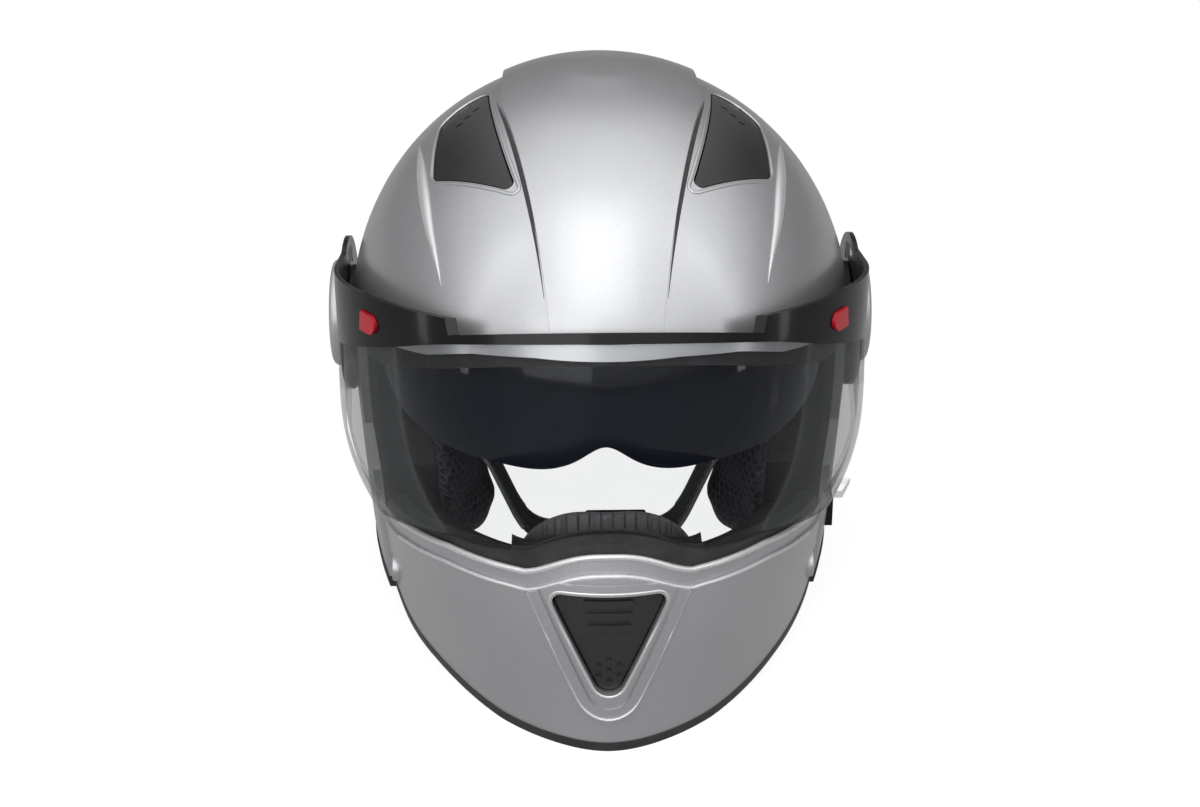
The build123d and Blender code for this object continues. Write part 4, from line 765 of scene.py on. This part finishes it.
def makeEarPanes():
    # A flat arc: a box section in (radius, x) turned about the pivot from one end of the window to the other
    count = earPane["points"]
    turns = np.radians(np.linspace(90 - earPane["reach"], 90 + earPane["reach"], count))
    half, wall = earPane["half"], (earPane["outer"] - earPane["inner"]) / 2
    profile = np.array([[half, wall], [-half, wall], [-half, -wall], [half, -wall]])
    for side, label in ((1, "left"), (-1, "right")):
        middle = np.full(count, side * (earPane["inner"] + earPane["outer"]) / 2)
        arc = [-earPane["radius"] * np.cos(turns), earPane["radius"] * np.sin(turns)]
        path = np.stack([middle, *arc], 1) + pivot
        mesh = sweepMesh("earPane_" + label, path, np.tile([1.0, 0.0, 0.0], (count, 1)), profile)
        mesh.shade_flat()
        addPiece("earPane_" + label, mesh, "clear", "face_shield")


def spotsOf(mesh):
    spots = np.empty(len(mesh.vertices) * 3)
    mesh.vertices.foreach_get("co", spots)
    return spots.reshape(-1, 3)


def arrowsOf(mesh):
    arrows = np.empty(len(mesh.vertices) * 3, np.float32)
    mesh.vertex_normals.foreach_get("vector", arrows)
    return arrows.reshape(-1, 3).astype(float)


def placeSpots(mesh, spots):
    mesh.vertices.foreach_set("co", spots.ravel())
    mesh.update()


def settle(piece):
    # The piece's mesh with its modifiers applied
    graph = bpy.context.evaluated_depsgraph_get()
    mesh = bpy.data.meshes.new_from_object(piece.evaluated_get(graph))
    piece.modifiers.clear()
    mesh.name = piece.name
    piece.data = mesh


def inflate(piece, pressure):
    # Where the piece's points are after Cloth has blown it up without gravity
    cloth = piece.modifiers.new("pressure", "CLOTH")
    cloth.settings.use_pressure = True
    cloth.settings.uniform_pressure_force = pressure
    cloth.settings.effector_weights.gravity = 0
    for step in range(1, padding["frames"] + 1):
        bpy.context.scene.frame_set(step)
    graph = bpy.context.evaluated_depsgraph_get()
    spots = spotsOf(piece.evaluated_get(graph).data)
    piece.modifiers.clear()
    bpy.context.scene.frame_set(1)
    return spots


# Padded pieces: the solid each stands for, voxel, how far its free side is drawn in first, the most that it swells,
# and the point of the head cavity that its free side faces
cushions = {
    "cheekCushion_left": {"node": "cheek_pad_left", "look": "mesh", "slot": "mesh_lining", "voxel": 0.0035,
                          "drawIn": 0.003, "cap": 0.0045, "pressure": 4.0, "cavity": (-0.02, 0.02, -0.06),
                          "fill": 0.8},
    "cheekCushion_right": {"node": "cheek_pad_right", "look": "mesh", "slot": "mesh_lining", "voxel": 0.0035,
                           "drawIn": 0.003, "cap": 0.0045, "pressure": 4.0, "cavity": (0.02, 0.02, -0.06),
                           "fill": 0.8},
    "neckCushion": {"node": "neck_roll", "look": "lining", "slot": "lining", "voxel": 0.0035,
                    "drawIn": 0.0015, "cap": 0.002, "pressure": 3.0, "cavity": (0.0, -0.02, -0.118), "fill": 0.7},
    "rearCushion": {"node": "rear_liner", "look": "lining", "slot": "lining", "voxel": 0.004,
                    "drawIn": 0.002, "cap": 0.0025, "pressure": 3.0, "cavity": (0.0, -0.03, -0.06), "fill": 0.7},
    "crownCushion": {"node": "crown_liner", "look": "lining", "slot": "lining", "voxel": 0.0032,
                     "drawIn": 0.001, "cap": 0.0015, "pressure": 2.0, "cavity": (0.0, -0.01, -0.02), "fill": 0.6},
}
padCentre = {"side": 0.104, "forward": 0.0165, "drop": 0.070, "length": 0.052, "width": 0.048, "facing": 35.0}
padding = {"weld": 0.00002, "backed": -0.05, "open": 0.45, "frames": 20}


def padMap(spots, side):
    # Map of a cheek cushion in metres: the turn about its upright axis times its length, and the height
    x = (spots[:, 0] * side - padCentre["side"]) / padCentre["width"]
    forward = (pivotY - spots[:, 1] - padCentre["forward"]) / padCentre["length"]
    turn = np.arctan2(forward, -x) - math.radians(padCentre["facing"])
    return np.stack([turn * padCentre["length"], spots[:, 2] - pivotZ + padCentre["drop"]], 1)


def makeCushion(name, facts):
    # A copy of the solid is remeshed, drawn in on its free side, blown up by Cloth, and held back where it is backed
    mesh = nodes[facts["node"]].data.copy()
    board = bmesh.new()
    board.from_mesh(mesh)
    bmesh.ops.remove_doubles(board, verts=board.verts, dist=padding["weld"])
    board.to_mesh(mesh)
    board.free()
    piece = addPiece(name, mesh, facts["look"], "helmet_shell")
    even = piece.modifiers.new("even", "REMESH")
    even.mode = "VOXEL"
    even.voxel_size = facts["voxel"]
    soften = piece.modifiers.new("soften", "SMOOTH")
    soften.iterations = 3
    settle(piece)
    spots, arrows = spotsOf(piece.data), arrowsOf(piece.data)
    centre = np.array(facts["cavity"]) + pivot
    free = ramp(np.sum(arrows * unit(centre - spots), 1), padding["backed"], padding["open"])[:, None]
    start = spots - arrows * free * facts["drawIn"]
    placeSpots(piece.data, start)
    moved = inflate(piece, facts["pressure"]) - start
    reach = np.maximum(np.linalg.norm(moved, axis=1, keepdims=True), 1e-9)
    placeSpots(piece.data, start + moved * np.minimum(1, facts["cap"] / reach) * free)
    soften = piece.modifiers.new("soften", "SMOOTH")
    soften.iterations = 2
    finer = piece.modifiers.new("finer", "SUBSURF")
    finer.levels = finer.render_levels = 1
    settle(piece)
    if facts["look"] == "mesh":
        writeMap(piece.data, padMap(spotsOf(piece.data), 1 if name.endswith("left") else -1))
    piece.data.shade_smooth()
    piece.data.materials.clear()
    piece.data.materials.append(finish[facts["look"]])
    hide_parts(facts["node"])
    print(name, len(piece.data.polygons), "faces")


print("sewing the straps")
makeStraps()
print("edging the vents and the ears")
makeVentRims()
makeEarPanes()
print("drawing the shell's lines and the guard's edges")
makeShellLines()
makeChinEdges()
for name, facts in cushions.items():
    print("padding", name)
    makeCushion(name, facts)


# Studio: pale floor, white surroundings, soft boxes, and the camera in front of and above the helmet
studio = {
    "cameraDistance": 1.0, "cameraRise": 22.5, "cameraTurn": 1.2, "lens": 58.8, "sensor": 36, "shift": -0.078,
    "roomLight": 0.36, "glossDark": 0.16, "glossBright": 1.55, "glossWay": (0.0, -0.42, 0.91), "glossFrom": 0.05,
    "glossTo": 0.85, "floorShade": 0.25, "floorGlow": 0.90, "floorMirror": 0.3, "floorRadius": 9.0,
}
softBoxes = {
    "frontTop": {"spot": (-0.1, -0.95, 1.65), "target": (0, -0.05, 0.16), "size": (1.1, 1.7), "power": 7.5},
    "leftSide": {"spot": (-1.1, -0.45, 0.45), "target": (0, 0, 0.12), "size": (0.10, 2.2), "power": 1.8},
    "rightSide": {"spot": (1.1, -0.45, 0.45), "target": (0, 0, 0.12), "size": (0.10, 2.2), "power": 1.8},
    "frontFill": {"spot": (-0.6, -1.5, 0.55), "target": (0, 0, 0.08), "size": (1.0, 0.8), "power": 3.2},
}


def seenDirectly(board, path):
    # 1 for what the camera sees itself or through the lenses
    return board.either(Wire(board, path.outputs["Is Camera Ray"]), Wire(board, path.outputs["Is Transmission Ray"]))


def makeWorld():
    # White behind the helmet; its gloss sees white in front and above, falling to grey at the sides and behind
    world = bpy.data.worlds.new("paleRoom")
    bpy.context.scene.world = world
    world.use_nodes = True
    room = Board(world.node_tree)
    path = room.node("ShaderNodeLightPath").socket.node
    seen = seenDirectly(room, path)
    gloss = Wire(room, path.outputs["Is Glossy Ray"])
    way = room.node("ShaderNodeTexCoord").socket.node
    facing = room.node("ShaderNodeVectorMath", {"operation": "DOT_PRODUCT"},
                       [Wire(room, way.outputs["Generated"]), studio["glossWay"]], 1)
    bright = facing.step(studio["glossFrom"], studio["glossTo"])
    shine = studio["glossDark"] + bright * (studio["glossBright"] - studio["glossDark"])
    level = gloss * shine + (1 - gloss) * studio["roomLight"]
    strength = seen + (1 - seen) * level
    back = room.node("ShaderNodeBackground", {}, {"Color": (1.0, 1.0, 1.0), "Strength": strength})
    output = room.tree.nodes.new("ShaderNodeOutputWorld")
    room.tree.links.new(back.socket, output.inputs[0])


def makeFloor():
    # Flat disc under the helmet; it glows a little for the camera so that it reads as white, and keeps the shadow
    turns = np.linspace(0, 2 * np.pi, 97)[:-1]
    radius = studio["floorRadius"]
    ring = np.stack([radius * np.cos(turns), radius * np.sin(turns), 0 * turns], 1)
    mesh = bpy.data.meshes.new("floor")
    mesh.from_pydata(ring.tolist(), [], [list(range(len(ring)))])
    floor = bpy.data.objects.new("floor", mesh)
    bpy.context.scene.collection.objects.link(floor)
    material = bpy.data.materials.new("paleFloor")
    material.use_nodes = True
    board = Board(material.node_tree)
    path = board.node("ShaderNodeLightPath").socket.node
    mirrored = Wire(board, path.outputs["Is Glossy Ray"]) * studio["floorMirror"]
    seen = board.either(seenDirectly(board, path), mirrored)
    matt = board.node("ShaderNodeBsdfDiffuse", {}, [(studio["floorShade"],) * 3])
    glow = board.node("ShaderNodeEmission", {}, {"Strength": seen * studio["floorGlow"]})
    both = board.node("ShaderNodeAddShader", {}, [matt, glow])
    output = board.tree.nodes.new("ShaderNodeOutputMaterial")
    board.tree.links.new(both.socket, output.inputs[0])
    mesh.materials.append(material)


def makeSoftBox(name, facts):
    lamp = bpy.data.lights.new(name, "AREA")
    lamp.shape = "RECTANGLE"
    lamp.size, lamp.size_y = facts["size"]
    lamp.energy = facts["power"]
    holder = bpy.data.objects.new(name, lamp)
    bpy.context.scene.collection.objects.link(holder)
    holder.location = facts["spot"]
    way = Vector(facts["target"]) - Vector(facts["spot"])
    holder.rotation_euler = way.to_track_quat("-Z", "Y").to_euler()


def makeCamera():
    # The camera stands on a circle about the shield's pivot and looks at it; the shift frames the helmet
    rise, turn = math.radians(studio["cameraRise"]), math.radians(studio["cameraTurn"])
    level = math.cos(rise)
    away = Vector((-math.sin(turn) * level, -math.cos(turn) * level, math.sin(rise)))
    view = bpy.data.cameras.new("camera")
    view.lens = studio["lens"]
    view.sensor_width = studio["sensor"]
    view.shift_y = studio["shift"]
    holder = bpy.data.objects.new("camera", view)
    bpy.context.scene.collection.objects.link(holder)
    holder.location = Vector(pivot) + away * studio["cameraDistance"]
    holder.rotation_euler = (-away).to_track_quat("-Z", "Y").to_euler()
    bpy.context.scene.camera = holder


print("setting the studio")
makeWorld()
makeFloor()
makeCamera()
for name, facts in softBoxes.items():
    makeSoftBox(name, facts)
bpy.context.scene.view_settings.view_transform = "Standard"
